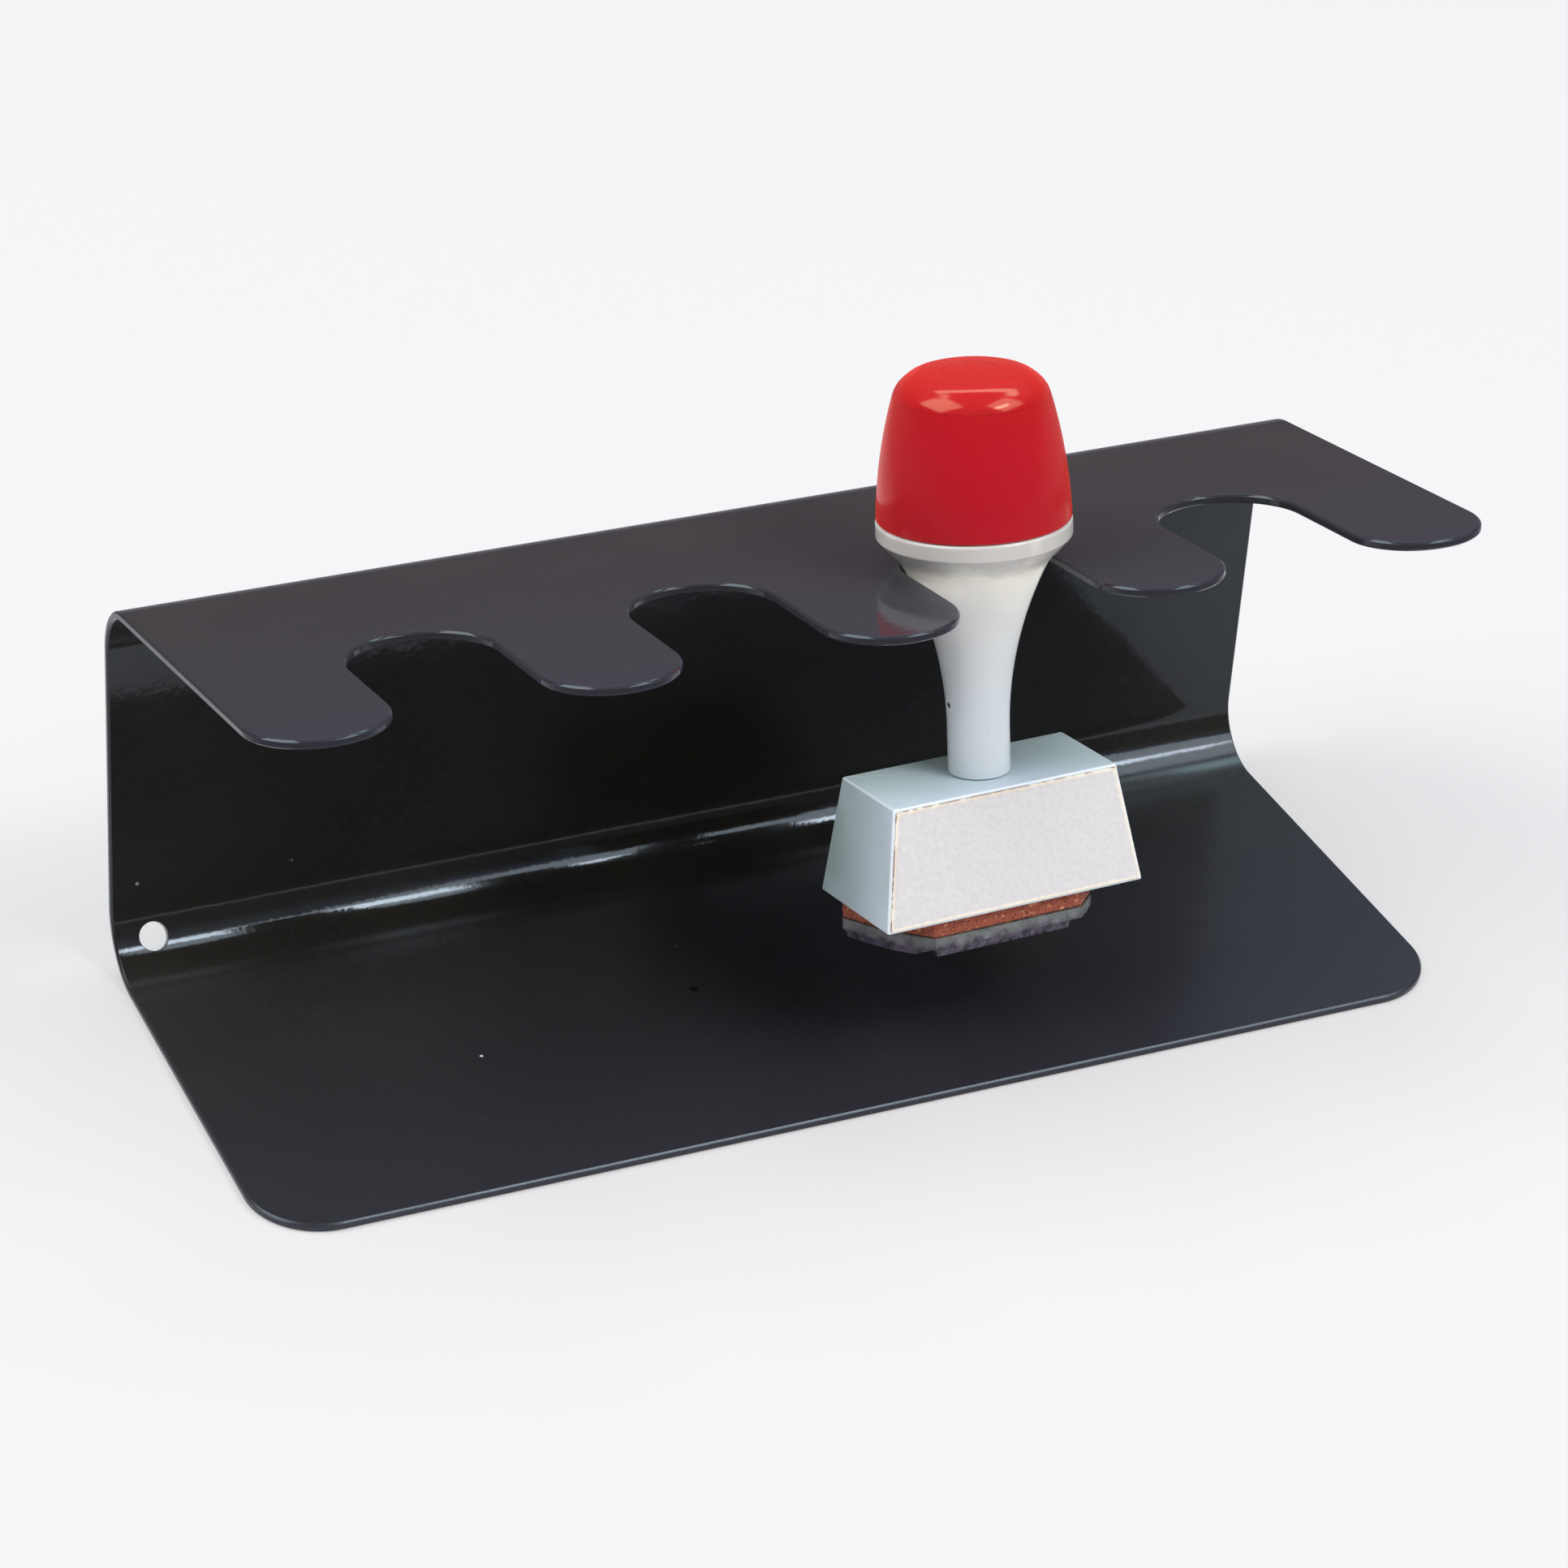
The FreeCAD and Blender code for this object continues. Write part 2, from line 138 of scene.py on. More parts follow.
# small marks, one to a cell: how strongly a point is marked, and the cell's random numbers
def strewn(tree, point, spacing, radius, core, strength, share, lot):
    cells = addNode(tree, "TexVoronoi", {"Scale": perMetre(spacing)}, {"Vector": point})
    edge = radius / spacing
    fade = {"From Min": core * edge, "From Max": edge, "To Min": strength, "To Max": 0.0}
    inside = addNode(tree, "MapRange", fade, {"Value": cells})
    pick = addNode(tree, "SeparateColor", links={"Color": cells.outputs["Color"]})
    chosen = addNode(tree, "Math", {"operation": "LESS_THAN", 1: share}, {0: pick.outputs[lot]})
    return addNode(tree, "Math", {"operation": "MULTIPLY"}, {0: inside, 1: chosen}), pick


# one round mark over a colour, full to its inner radius and gone at the outer: new colour and share
def spotted(tree, point, colour, centre, inner, outer, tone):
    settings = {"operation": "DISTANCE", 1: tuple(value * mm for value in centre)}
    away = addNode(tree, "VectorMath", settings, {0: point})
    fade = {"From Min": inner * mm, "From Max": outer * mm, "To Min": 1.0, "To Max": 0.0}
    near = addNode(tree, "MapRange", fade, {"Value": away})
    return addNode(tree, "Mix", {7: tone}, {0: near, 6: colour}), near


# a point's share of the way from low to high, in mm from the stamp's seat along a direction
def stampLevel(tree, point, direction, low, high, wander=None):
    offset = addNode(tree, "VectorMath", {"operation": "SUBTRACT", 1: tuple(stampSeat)}, {0: point})
    level = addNode(tree, "VectorMath", {"operation": "DOT_PRODUCT", 1: tuple(direction)}, {0: offset})
    if wander:
        level = addNode(tree, "Math", {"operation": "ADD"}, {0: level, 1: wander})
    return addNode(tree, "MapRange", {"From Min": low * mm, "From Max": high * mm}, {"Value": level})


def toned(tree, point, direction, low, high, stops, drift=None):  # tones along the stamp, blurred by a drift
    level = stampLevel(tree, point, direction, low, high)
    if drift:
        level = addNode(tree, "Math", {"operation": "ADD"}, {0: level, 1: drifting(tree, point, **drift)})
    return addNode(tree, "ValToRGB", {"stops": stops}, {"Fac": level})


def sceneObject(name, data):
    item = bpy.data.objects.new(name, data)
    bpy.context.scene.collection.objects.link(item)
    return item


def meshPiece(name, points, faces, normals=None, place=Matrix.Identity(4)):  # points in mm
    mesh = bpy.data.meshes.new(name)
    matrix = place @ Matrix.Diagonal((mm, mm, mm, 1.0))
    mesh.from_pydata([matrix @ Vector(point) for point in points], [], faces)
    mesh.validate()
    mesh.update()
    mesh.shade_smooth()
    if normals is None:
        mesh.set_sharp_from_angle(angle=hardEdge)
    else:
        turn = matrix.to_3x3().normalized()
        mesh.normals_split_custom_set_from_vertices([(turn @ Vector(n)).normalized() for n in normals])
    return sceneObject(name, mesh)


def finishPiece(piece, material, body, node):
    piece.data.materials.append(material)
    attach(piece, body)
    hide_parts(node)


def bridged(first, second):  # the faces between two closed rings
    return list(zip(first, first[1:] + first[:1], second[1:] + second[:1], second))


def markPoints(piece, name, values):  # one number for each point, for the materials to read
    mark = piece.data.attributes.new(name, "FLOAT", "POINT")
    for item, value in zip(mark.data, values):
        item.value = value


print("frame loaded:", len(frame["nodes"]), "nodes")


# black stoving enamel, sprayed on the sheet and baked: a dark, wet-looking skin with fine orange peel,
# slow waves where the sheet was bent and a few nibs of dust caught in the paint
def stovedEnamel():
    look = {
        "shader": {"IOR": 1.5, "Specular Tint": "dcecfc", "Sheen Weight": 0.08, "Sheen Roughness": 0.5,
                   "Sheen Tint": "c8d0f8"},
        "body": {"sizeMm": 24.0, "stops": [(0.35, "22201a"), (0.65, "28261e")], "detail": 2.0},
        "frontLightTone": "29282c", "front": {"From Min": 24.0 * mm, "From Max": -30.0 * mm},
        "fleck": "29272a", "flecks": {"sizeMm": 0.9, "high": 0.6, "start": 0.45, "end": 0.65, "detail": 3.0},
        "nibs": {"spacing": 9.0, "radius": 0.2, "core": 0.4, "strength": 1.0, "share": 0.25, "lot": "Green"},
        "nibTones": [(0.45, "160c0c"), (0.55, "9aa1a8")],
        "spots": [((-48.9, -5.7, 1.3), 0.3, "e8eef0"), ((-14.4, -0.4, 1.3), 0.95, "120302"),
                  ((-86.1, 33.7, 13.3), 0.35, "a8a49c"), ((-63.1, 33.7, 12.4), 0.3, "6a6a66"),
                  ((-67.0, 32.6, 1.5), 0.35, "a8a49c"), ((-70.6, 29.9, 1.3), 0.3, "8a8880")],
        "spotCore": 0.4,
        "haze": {"sizeMm": 9.0, "low": 0.07, "high": 0.12}, "rubbed": 0.18,
        "used": {"From Min": 3.0 * mm, "From Max": 1.4 * mm},
        "layers": [(12.0, 0.08, 1.0), (1.1, 0.012, 1.0)],  # waves, orange peel
    }
    material, tree, point = newMaterial("stovedEnamelBlack")
    body = clouded(tree, point, **look["body"])
    place = addNode(tree, "SeparateXYZ", links={"Vector": point})
    # painted light and shade: the paint turns lighter and bluer towards the front, and stays darker and
    # warmer at the back, where the shelf shades the wall
    front = addNode(tree, "MapRange", look["front"], {"Value": place.outputs["Y"]})
    frontLit = addNode(tree, "Mix", {7: look["frontLightTone"]}, {0: front, 6: body})
    flecks = drifting(tree, point, **look["flecks"])
    flecked = addNode(tree, "Mix", {7: look["fleck"]}, {0: flecks, 6: frontLit})
    nib, pick = strewn(tree, point, **look["nibs"])
    nibTone = addNode(tree, "ValToRGB", {"stops": look["nibTones"]}, {"Fac": pick})
    colour = addNode(tree, "Mix", links={0: nib, 6: flecked, 7: nibTone})
    for centre, radius, tone in look["spots"]:  # the few specks that stand out
        colour, near = spotted(tree, point, colour, centre, look["spotCore"] * radius, radius, tone)
    # stamps and hands rub the base
    used = addNode(tree, "MapRange", look["used"], {"Value": place.outputs["Z"]})
    rough = addNode(tree, "Math", {"operation": "MULTIPLY_ADD", 1: look["rubbed"]},
                    {0: used, 2: drifting(tree, point, **look["haze"])})
    return surfaced(material, point, look, colour, rough)


# polystyrene, injection moulded in a polished tool: smooth and faintly waxy, faintly yellowed under the rim,
# where a paler band is painted light that lifts the shade, the rim painted darker to hold back its light,
# with small scuffs and one dark nick low on the shaft
def mouldedStyrene():
    look = {
        "shader": {"IOR": 1.55, "Subsurface Weight": 0.2, "Subsurface Radius": (1.0, 1.0, 1.0),
                   "Subsurface Scale": 1.0 * mm},
        # the lip tone is painted light over a faint yellowish stain, lifting the shade under the rim; the
        # rim tone is painted shade
        "body": {"low": -22.0, "high": 4.5, "drift": {"sizeMm": 6.0, "low": -0.06, "high": 0.06}, "stops": [
            (0.1, "dae1e4"), (0.6, "dad9d6"), (0.86, "f2ede0"), (0.97, "cac6c1")]},  # shaft, neck, lip, rim
        "scuff": "8f8b84",
        "scuffs": {"spacing": 3.2, "radius": 0.14, "core": 0.3, "strength": 0.8, "share": 0.12,
                   "lot": "Red"},
        "nickPlace": (15.65, -13.4, 50.6), "nickDepth": 0.2,
        "nickHighlight": (0.715, 0.975, "f4f4f0"), "nick": (0.26, 0.65, "2e2a26"),
        "rub": {"sizeMm": 4.0, "low": 0.16, "high": 0.26},
        "layers": [(7.0, 0.03, 1.0), (0.7, 0.004, 2.0)],  # flow of the melt, grain
    }
    material, tree, point = newMaterial("mouldedStyreneGrey")
    body = toned(tree, point, stampAxis, **look["body"])
    scuff, pick = strewn(tree, point, **look["scuffs"])
    scuffed = addNode(tree, "Mix", {7: look["scuff"]}, {0: scuff, 6: body})
    # painted highlight: a pale ring round the nick; painted shade: the dark inside its dent
    nickHighlighted, rim = spotted(tree, point, scuffed, look["nickPlace"], *look["nickHighlight"])
    nicked, nick = spotted(tree, point, nickHighlighted, look["nickPlace"], *look["nick"])
    cut = addNode(tree, "Bump", {"Distance": look["nickDepth"] * mm, "invert": True},
                  {"Height": nick, "Normal": relief(tree, point, look["layers"])})
    return surfaced(material, point, look, nicked, normal=cut)


# polystyrene tinted through, moulded and buffed: deep colour that glows where light gets in at the crown,
# under a gloss that handling has softened
def tintedStyrene():
    look = {
        "shader": {"IOR": 1.5, "Roughness": 0.13, "Specular Tint": "ffe2bc", "Subsurface Weight": 0.7,
                   "Subsurface Radius": (1.0, 0.12, 0.06), "Subsurface Scale": 3.0 * mm,
                   "Sheen Weight": 1.0, "Sheen Roughness": 0.54, "Sheen Tint": "ff4834"},
        # the crown's tone is a touch darker, painted shade that holds back the light on its top
        "body": {"low": 8.0, "high": 27.5, "drift": {"sizeMm": 7.0, "low": -0.1, "high": 0.1}, "stops": [
            (0.1, "b01226"), (0.55, "b31225"), (0.95, "b01019")]},  # skirt, side, crown
        "layers": [(4.0, 0.015, 1.0), (0.9, 0.002, 2.0)],  # flow of the melt, buffing
    }
    material, tree, point = newMaterial("tintedStyreneRed")
    return surfaced(material, point, look, toned(tree, point, stampAxis, **look["body"]))


# ABS, moulded in a lightly sparked tool: an even, half-matt skin that turns from blue to a darker green grey
# to the back, the darkening painted shade behind the shaft, and paler along its edges, partly rubbed and
# partly a painted highlight
def mouldedAbs():
    look = {
        "shader": {"IOR": 1.53},
        # painted shade: the back tone is darker, for the shade behind the shaft
        "body": {"low": -7.0, "high": 9.0, "stops": [(0.0, "b0c4c2"), (1.0, "d8e6f3")]},
        "shade": "c6d7da", "shading": {"sizeMm": 11.0, "start": 0.45, "detail": 3.0}, "rubbed": "ecf4fa",
        "rub": {"sizeMm": 3.0, "low": 0.36, "high": 0.5}, "layers": [(0.35, 0.008, 2.0)],
    }
    material, tree, point = newMaterial("mouldedAbsBlueGrey")
    body = toned(tree, point, stampFront, **look["body"])
    shading = drifting(tree, point, **look["shading"])
    shaded = addNode(tree, "Mix", {7: look["shade"]}, {0: shading, 6: body})
    # paler along the edges: partly rubbed, partly a painted highlight on their rounding
    wearAndHighlight = addNode(tree, "Attribute", {"attribute_name": "wearAndHighlight"}).outputs["Fac"]
    rubbed = addNode(tree, "Mix", {7: look["rubbed"]}, {0: wearAndHighlight, 6: shaded})
    return surfaced(material, point, look, rubbed)


# uncoated card, guillotined: matt, faintly mottled fibres, a creamy border and a browned cut edge
def uncoatedCard():
    look = {
        "shader": {"IOR": 1.5, "Roughness": 0.72},
        "mottle": {"sizeMm": 0.7, "stops": [(0.4, "d5d1d2"), (0.6, "dcd9d8")], "detail": 5.0,
                   "roughness": 0.7},
        "border": "f4ead8", "fraying": {"sizeMm": 0.8, "low": -0.2, "high": 0.2},
        "fade": {"From Min": 0.4, "From Max": 0.85},
        "edge": "8a4f2a", "dashes": {"sizeMm": 1.6, "start": 0.42, "end": 0.5},
        "layers": [(0.5, 0.012, 3.0)],
    }
    material, tree, point = newMaterial("uncoatedTitleCard")
    body = clouded(tree, point, **look["mottle"])
    border = addNode(tree, "Attribute", {"attribute_name": "border"}).outputs["Fac"]
    fraying = drifting(tree, point, **look["fraying"])
    frayed = addNode(tree, "Math", {"operation": "ADD"}, {0: border, 1: fraying})
    share = addNode(tree, "MapRange", look["fade"], {"Value": frayed})
    bordered = addNode(tree, "Mix", {7: look["border"]}, {0: share, 6: body})
    cut = addNode(tree, "Attribute", {"attribute_name": "cutEdge"}).outputs["Fac"]
    dashes = drifting(tree, point, **look["dashes"])
    dashed = addNode(tree, "Math", {"operation": "MULTIPLY"}, {0: cut, 1: dashes})
    browned = addNode(tree, "Mix", {7: look["edge"]}, {0: dashed, 6: bordered})
    return surfaced(material, point, look, browned)


# open-cell sponge rubber, sliced from a block: orange, matt and full of torn pores, their dark insides
# painted shade
def spongeRubber():
    look = {
        "shader": {"IOR": 1.5, "Roughness": 0.85, "Sheen Weight": 0.2},
        "tones": [(0.1, "3c150f"), (0.35, "984b34")], "poreMm": 0.5, "poreDepth": 0.14,
        "crumb": "cf8860", "crumbs": {"sizeMm": 0.7, "start": 0.58},
    }
    material, tree, point = newMaterial("openCellSpongeOrange")
    cells = addNode(tree, "TexVoronoi", {"Scale": perMetre(look["poreMm"])}, {"Vector": point})
    body = addNode(tree, "ValToRGB", {"stops": look["tones"]}, {"Fac": cells})
    crumbs = drifting(tree, point, **look["crumbs"])
    colour = addNode(tree, "Mix", {7: look["crumb"]}, {0: crumbs, 6: body})
    torn = addNode(tree, "Bump", {"Distance": look["poreDepth"] * mm}, {"Height": cells})
    return surfaced(material, point, look, colour, normal=torn)


# vulcanised rubber, pressed in a matrix and knife cut: greenish grey, with old ink low on the raised face
def vulcanisedRubber():
    look = {
        "shader": {"IOR": 1.52, "Roughness": 0.6},
        "body": {"sizeMm": 1.6, "stops": [(0.35, "5c5f5f"), (0.65, "737676")]},
        "ink": {"sizeMm": 1.1, "stops": [(0.4, "292530"), (0.6, "514859")]},
        "inkTop": -50.9, "inkLow": -52.1,
        "creep": {"sizeMm": 1.5, "low": -0.6 * mm, "high": 0.6 * mm}, "layers": [(0.5, 0.02, 3.0)],
    }
    material, tree, point = newMaterial("vulcanisedRubberGreen")
    creep = drifting(tree, point, **look["creep"])
    share = stampLevel(tree, point, stampAxis, look["inkTop"], look["inkLow"], creep)
    inked = addNode(tree, "Mix", links={
        0: share, 6: clouded(tree, point, **look["body"]), 7: clouded(tree, point, **look["ink"])})
    return surfaced(material, point, look, inked)


# double-sided tape, acrylic glue on film: a dark brown line, partly the film's own colour and partly painted
# shade in the narrow gap between the parts
def adhesiveFilm():
    look = {"shader": {"IOR": 1.47, "Roughness": 0.4},
            "film": {"sizeMm": 1.5, "stops": [(0.35, "221511"), (0.7, "5f4a36")]}}
    material, tree, point = newMaterial("acrylicTapeFilm")
    return surfaced(material, point, look, clouded(tree, point, **look["film"]))


# steel, turned or pressed, bright zinc plated: a soft grey shine with a fine grain
def zincPlatedSteel():
    look = {
        "shader": {"Metallic": 1.0},
        "plate": {"sizeMm": 1.2, "stops": [(0.35, "a9aba6"), (0.65, "c9cbc8")]},
        "rub": {"sizeMm": 1.2, "low": 0.25, "high": 0.4, "detail": 3.0}, "layers": [(0.25, 0.004, 2.0)],
    }
    material, tree, point = newMaterial("zincPlatedSteel")
    return surfaced(material, point, look, clouded(tree, point, **look["plate"]))


# painted steel sheet, folded twice
rack = {
    "sheet": 1.3, "depth": 70.0, "wallHeight": 60.0, "shelfDepth": 68.8, "tilt": 13.0,
    "innerBend": 8.5, "cornerRadius": 10.5, "holeEdge": 0.12,
    "edgeArcs": ((0.15, 0, 42), (2.9, 42, 48), (0.15, 48, 90)),  # radius and angles round a filed edge
    "slots": 4, "pitch": 40.0, "slotWidth": 20.6, "slotReach": 45.0,
    "endFinger": 19.7, "tipRadius": 9.5,
    "holeRadius": 2.1, "holeInset": 5.8, "holeAngle": 35.0, "patchWidth": 11.6, "patchColumns": 12,
    "patchRings": 5, "lowBendSteps": 24, "highBendSteps": 20, "cornerSteps": 20, "slotSteps": 40,
    "edgeSteps": 2,
}


def foldPlan():
    r = rack
    outer, middle = r["innerBend"] + r["sheet"], r["innerBend"] + r["sheet"] / 2
    highTurn = radians(90 - r["tilt"])
    highRun = outer * tan(highTurn / 2)  # outer corner to where the bend starts
    baseEnd = r["depth"] - outer
    wallStart = baseEnd + middle * pi / 2
    wallEnd = wallStart + r["wallHeight"] - highRun - outer
    shelfStart = wallEnd + middle * highTurn
    return {
        "outer": outer, "middle": middle, "highTurn": highTurn, "highRun": highRun, "back": r["depth"] / 2,
        "half": ((r["slots"] - 1) * r["pitch"] + r["slotWidth"]) / 2 + r["endFinger"],
        "baseEnd": baseEnd, "wallStart": wallStart, "wallEnd": wallEnd, "shelfStart": shelfStart,
        "tip": shelfStart + r["shelfDepth"] - highRun, "slotCentre": shelfStart + r["slotReach"] - highRun,
    }


plan = foldPlan()


# a place along the flat strip, depth in from its outer face: its (y, z), directions outward and ahead
def foldedPoint(along, depth):
    outer, back = plan["outer"], plan["back"]
    lowCentre, highCentre = (back - outer, outer), (back - outer, rack["wallHeight"] - plan["highRun"])
    if along <= plan["baseEnd"]:
        return (along - back, depth), (0.0, -1.0), (1.0, 0.0)
    if along < plan["wallStart"]:
        swing = (along - plan["baseEnd"]) / plan["middle"]
        return onBend(lowCentre, outer - depth, swing - pi / 2)
    if along <= plan["wallEnd"]:
        return (back - depth, outer + along - plan["wallStart"]), (1.0, 0.0), (0.0, 1.0)
    if along < plan["shelfStart"]:
        return onBend(highCentre, outer - depth, (along - plan["wallEnd"]) / plan["middle"])
    start, outward, ahead = onBend(highCentre, outer - depth, plan["highTurn"])
    run = along - plan["shelfStart"]
    return (start[0] + ahead[0] * run, start[1] + ahead[1] * run), outward, ahead


def onBend(centre, radius, swing):
    outward = (cos(swing), sin(swing))
    ahead = (-sin(swing), cos(swing))
    return (centre[0] + outward[0] * radius, centre[1] + outward[1] * radius), outward, ahead


# closed run of (x, along, outward x, outward along) from the front right, and the bends' rows
def sheetOutline():
    r, half, tip, run = rack, plan["half"], plan["tip"], []

    def corner(centreX, centreAlong, radius, start, end, steps, hollow=False):
        sign = -1.0 if hollow else 1.0
        for angle in map(radians, spread(start, end, steps)):
            c, s = cos(angle), sin(angle)
            run.append((centreX + radius * c, centreAlong + radius * s, sign * c, sign * s))

    lowRows = spread(plan["baseEnd"], plan["wallStart"], r["lowBendSteps"])
    highRows = spread(plan["wallEnd"], plan["shelfStart"], r["highBendSteps"])
    rows = lowRows + highRows
    base, fingers, steps = r["cornerRadius"], r["tipRadius"], r["cornerSteps"]
    slotRadius = r["slotWidth"] / 2
    corner(half - base, base, base, -90, 0, steps)
    run += [(half, along, 1.0, 0.0) for along in rows]
    right = half
    for number in range(r["slots"] - 1, -1, -1):
        middle = (number - (r["slots"] - 1) / 2) * r["pitch"]
        corner(right - fingers, tip - fingers, fingers, 0, 90, steps)
        corner(middle + slotRadius + fingers, tip - fingers, fingers, 90, 180, steps)
        corner(middle, plan["slotCentre"], slotRadius, 0, -180, r["slotSteps"], hollow=True)
        right = middle - slotRadius
    corner(right - fingers, tip - fingers, fingers, 0, 90, steps)
    corner(-half + fingers, tip - fingers, fingers, 90, 180, steps)
    run += [(-half, along, -1.0, 0.0) for along in reversed(rows)]
    corner(-half + base, base, base, 180, 270, steps)
    return run, lowRows, highRows


def edgeProfile(arcs):  # (inset, depth, sideways share, outward share) round the cut edge, from face to face
    run, out, found = 0.0, 0.0, [(0.0, 0.0, 0.0, 1.0)]
    for radius, start, end in arcs:
        angles = [radians(angle) for angle in spread(start, end, rack["edgeSteps"])]
        for before, after in zip(angles, angles[1:]):
            run += radius * (sin(after) - sin(before))
            out += radius * (cos(before) - cos(after))
            found.append((run, out, sin(after), cos(after)))
    half = [(run - inset, depth, side, out) for inset, depth, side, out in found]
    return half + [(inset, rack["sheet"] - depth, side, -out) for inset, depth, side, out in reversed(half)]


def rackMesh():
    r, points, normals, faces = rack, [], [], []
    outline, lowRows, highRows = sheetOutline()

    def place(x, along, depth, normal):
        (y, z), outward, ahead = foldedPoint(along, depth)
        points.append((x, y, z))
        side, forward, out = normal
        normals.append((side, forward * ahead[0] + out * outward[0], forward * ahead[1] + out * outward[1]))
        return len(points) - 1

    def edgeBand(loop, positionOf, profile):
        rings = [[positionOf(item, *row) for item in loop] for row in profile]
        for first, second in zip(rings, rings[1:]):
            faces.extend(bridged(first, second))
        return rings[0], rings[-1]

    def outlinePosition(item, inset, depth, side, out):
        x, along, nx, na = item
        return place(x - nx * inset, along - na * inset, depth, (nx * side, na * side, out))

    profile = edgeProfile(r["edgeArcs"])
    outerRing, innerRing = edgeBand(outline, outlinePosition, profile)

    # the hole is drilled straight, so its places on the bend come from their real distance off its axis; the
    # patch round it has a border of (x, row of the bend), anticlockwise from its low left corner
    columns, rows = r["patchColumns"], r["lowBendSteps"]
    holeX, holeSwing = r["holeInset"] - plan["half"], pi / 2 - radians(r["holeAngle"])
    patchLeft, patchSpan = profile[0][0] - plan["half"], r["patchWidth"] - profile[0][0]
    shares = [(i / columns, 0) for i in range(columns)] + [(1.0, i) for i in range(rows)]
    shares += [(1 - i / columns, rows) for i in range(columns)] + [(0.0, rows - i) for i in range(rows)]
    border = [(patchLeft + share * patchSpan, row) for share, row in shares]
    holeAlong = plan["baseEnd"] + holeSwing * plan["middle"]
    angles = [atan2(lowRows[row] - holeAlong, x - holeX) for x, row in border]
    holeLoop = [(cos(angle), sin(angle)) for angle in angles]

    def holePlace(c, s, radius, depth):
        swing = holeSwing + asin(s * radius / (plan["outer"] - depth))
        return holeX + c * radius, plan["baseEnd"] + plan["middle"] * swing

    def holePosition(item, inset, depth, side, out):
        c, s = item
        return place(*holePlace(c, s, r["holeRadius"] + inset, depth), depth, (-c * side, -s * side, out))

    holeProfile = edgeProfile([(r["holeEdge"], 0, 90)])
    holeOuter, holeInner = edgeBand(holeLoop[::-1], holePosition, holeProfile)  # its edge runs the other way

    def skin(ring, holeRing, depth, out):
        def addFace(*corners):
            faces.append(corners[::out])

        right, left = ({item[1]: ring[i] for i, item in enumerate(outline)
                        if item[2] == side and item[1] in lowRows + highRows} for side in (1.0, -1.0))
        rings = []
        for share in spread(0.0, 1.0, r["patchRings"])[:-1]:
            current = []
            for (x, row), (c, s) in zip(border, holeLoop):
                if x == patchLeft and not share:
                    current.append(left[lowRows[row]])
                    continue
                side, along = holePlace(c, s, r["holeRadius"] + holeProfile[0][0], depth)
                current.append(place(x + (side - x) * share, lowRows[row] + (along - lowRows[row]) * share,
                                     depth, (0, 0, out)))
            rings.append(current)
        rings.append(holeRing[::-1])
        for first, second in zip(rings, rings[1:]):
            for i in range(1 - len(border), 1):
                addFace(first[i], first[i - 1], second[i - 1], second[i])
        patch = rings[0]
        for i in range(rows):  # rest of the low bend, from the patch to the right edge
            addFace(patch[columns + i], patch[columns + i + 1], right[lowRows[i + 1]], right[lowRows[i]])
        wallFoot = patch[columns + rows:2 * columns + rows + 1]
        addFace(left[highRows[0]], right[highRows[0]], right[lowRows[-1]], *wallFoot)
        for low, high in zip(highRows, highRows[1:]):
            addFace(left[low], left[high], right[high], right[low])
        base = [i for i, item in enumerate(outline) if item[1] <= lowRows[0]]
        base.sort(key=lambda i: outline[i][0] > 0)  # from the left side round the front to the right side
        addFace(*(ring[i] for i in reversed(base)), *patch[1:columns + 1])
        shelf = [i for i, item in enumerate(outline) if item[1] >= highRows[-1]]
        addFace(*(ring[i] for i in reversed(shelf)))

    skin(outerRing, holeOuter, 0.0, 1)
    skin(innerRing, holeInner, r["sheet"], -1)
    return points, faces, normals


rackSheet = meshPiece("rackSheet", *rackMesh())
finishPiece(rackSheet, stovedEnamel(), "rack_body", "rack_sheet")
print("rack sheet:", len(rackSheet.data.vertices), "points")

# where the stamp hangs: heights below are from its seat, which is the shelf's top face
stamp = {"turn": 2.4, "aroundSteps": 128, "arcDegrees": 12.0, "cornerSteps": 4}
seatJoint = next(joint for joint in frame["joints"] if joint["name"] == "mount_turn")
stampPlace = (Matrix.Translation(Vector(seatJoint["pos_m"]))
              @ Matrix.Rotation(radians(-rack["tilt"]), 4, "X")
              @ Matrix.Rotation(radians(stamp["turn"]), 4, "Z"))
stampSeat = stampPlace.translation
stampAxis = stampPlace.to_3x3() @ Vector((0, 0, 1))
stampFront = stampPlace.to_3x3() @ Vector((0, -1, 0))


def unitOf(run):
    length = hypot(*run)
    return (run[0] / length, run[1] / length)


def turnedBy(direction, angle):
    c, s = cos(angle), sin(angle)
    return (direction[0] * c - direction[1] * s, direction[0] * s + direction[1] * c)


# a corner of a run that has material on its left, as (x, y, outward x, outward y) round its arc; without a
# rounding it is one smooth point
def cornerArc(before, corner, after, rounding, inset=0.0, steps=None):
    behind, ahead = (unitOf((end[0] - start[0], end[1] - start[1])) if start and end else None
                     for start, end in ((before, corner), (corner, after)))
    behind, ahead = behind or ahead, ahead or behind
    first = (behind[1], -behind[0])
    if not rounding:
        return [(*corner, *unitOf((first[0] + ahead[1], first[1] - ahead[0])))]
    turn = atan2(behind[0] * ahead[1] - behind[1] * ahead[0], behind[0] * ahead[0] + behind[1] * ahead[1])
    back, side = rounding * tan(abs(turn) / 2), copysign(rounding, turn)
    centre = [corner[k] - behind[k] * back - first[k] * side for k in (0, 1)]
    steps = steps or max(2, ceil(degrees(abs(turn)) / stamp["arcDegrees"]))
    around = [turnedBy(first, angle) for angle in spread(0.0, turn, steps)]
    return [(centre[0] + n[0] * (side - inset), centre[1] + n[1] * (side - inset), *n) for n in around]


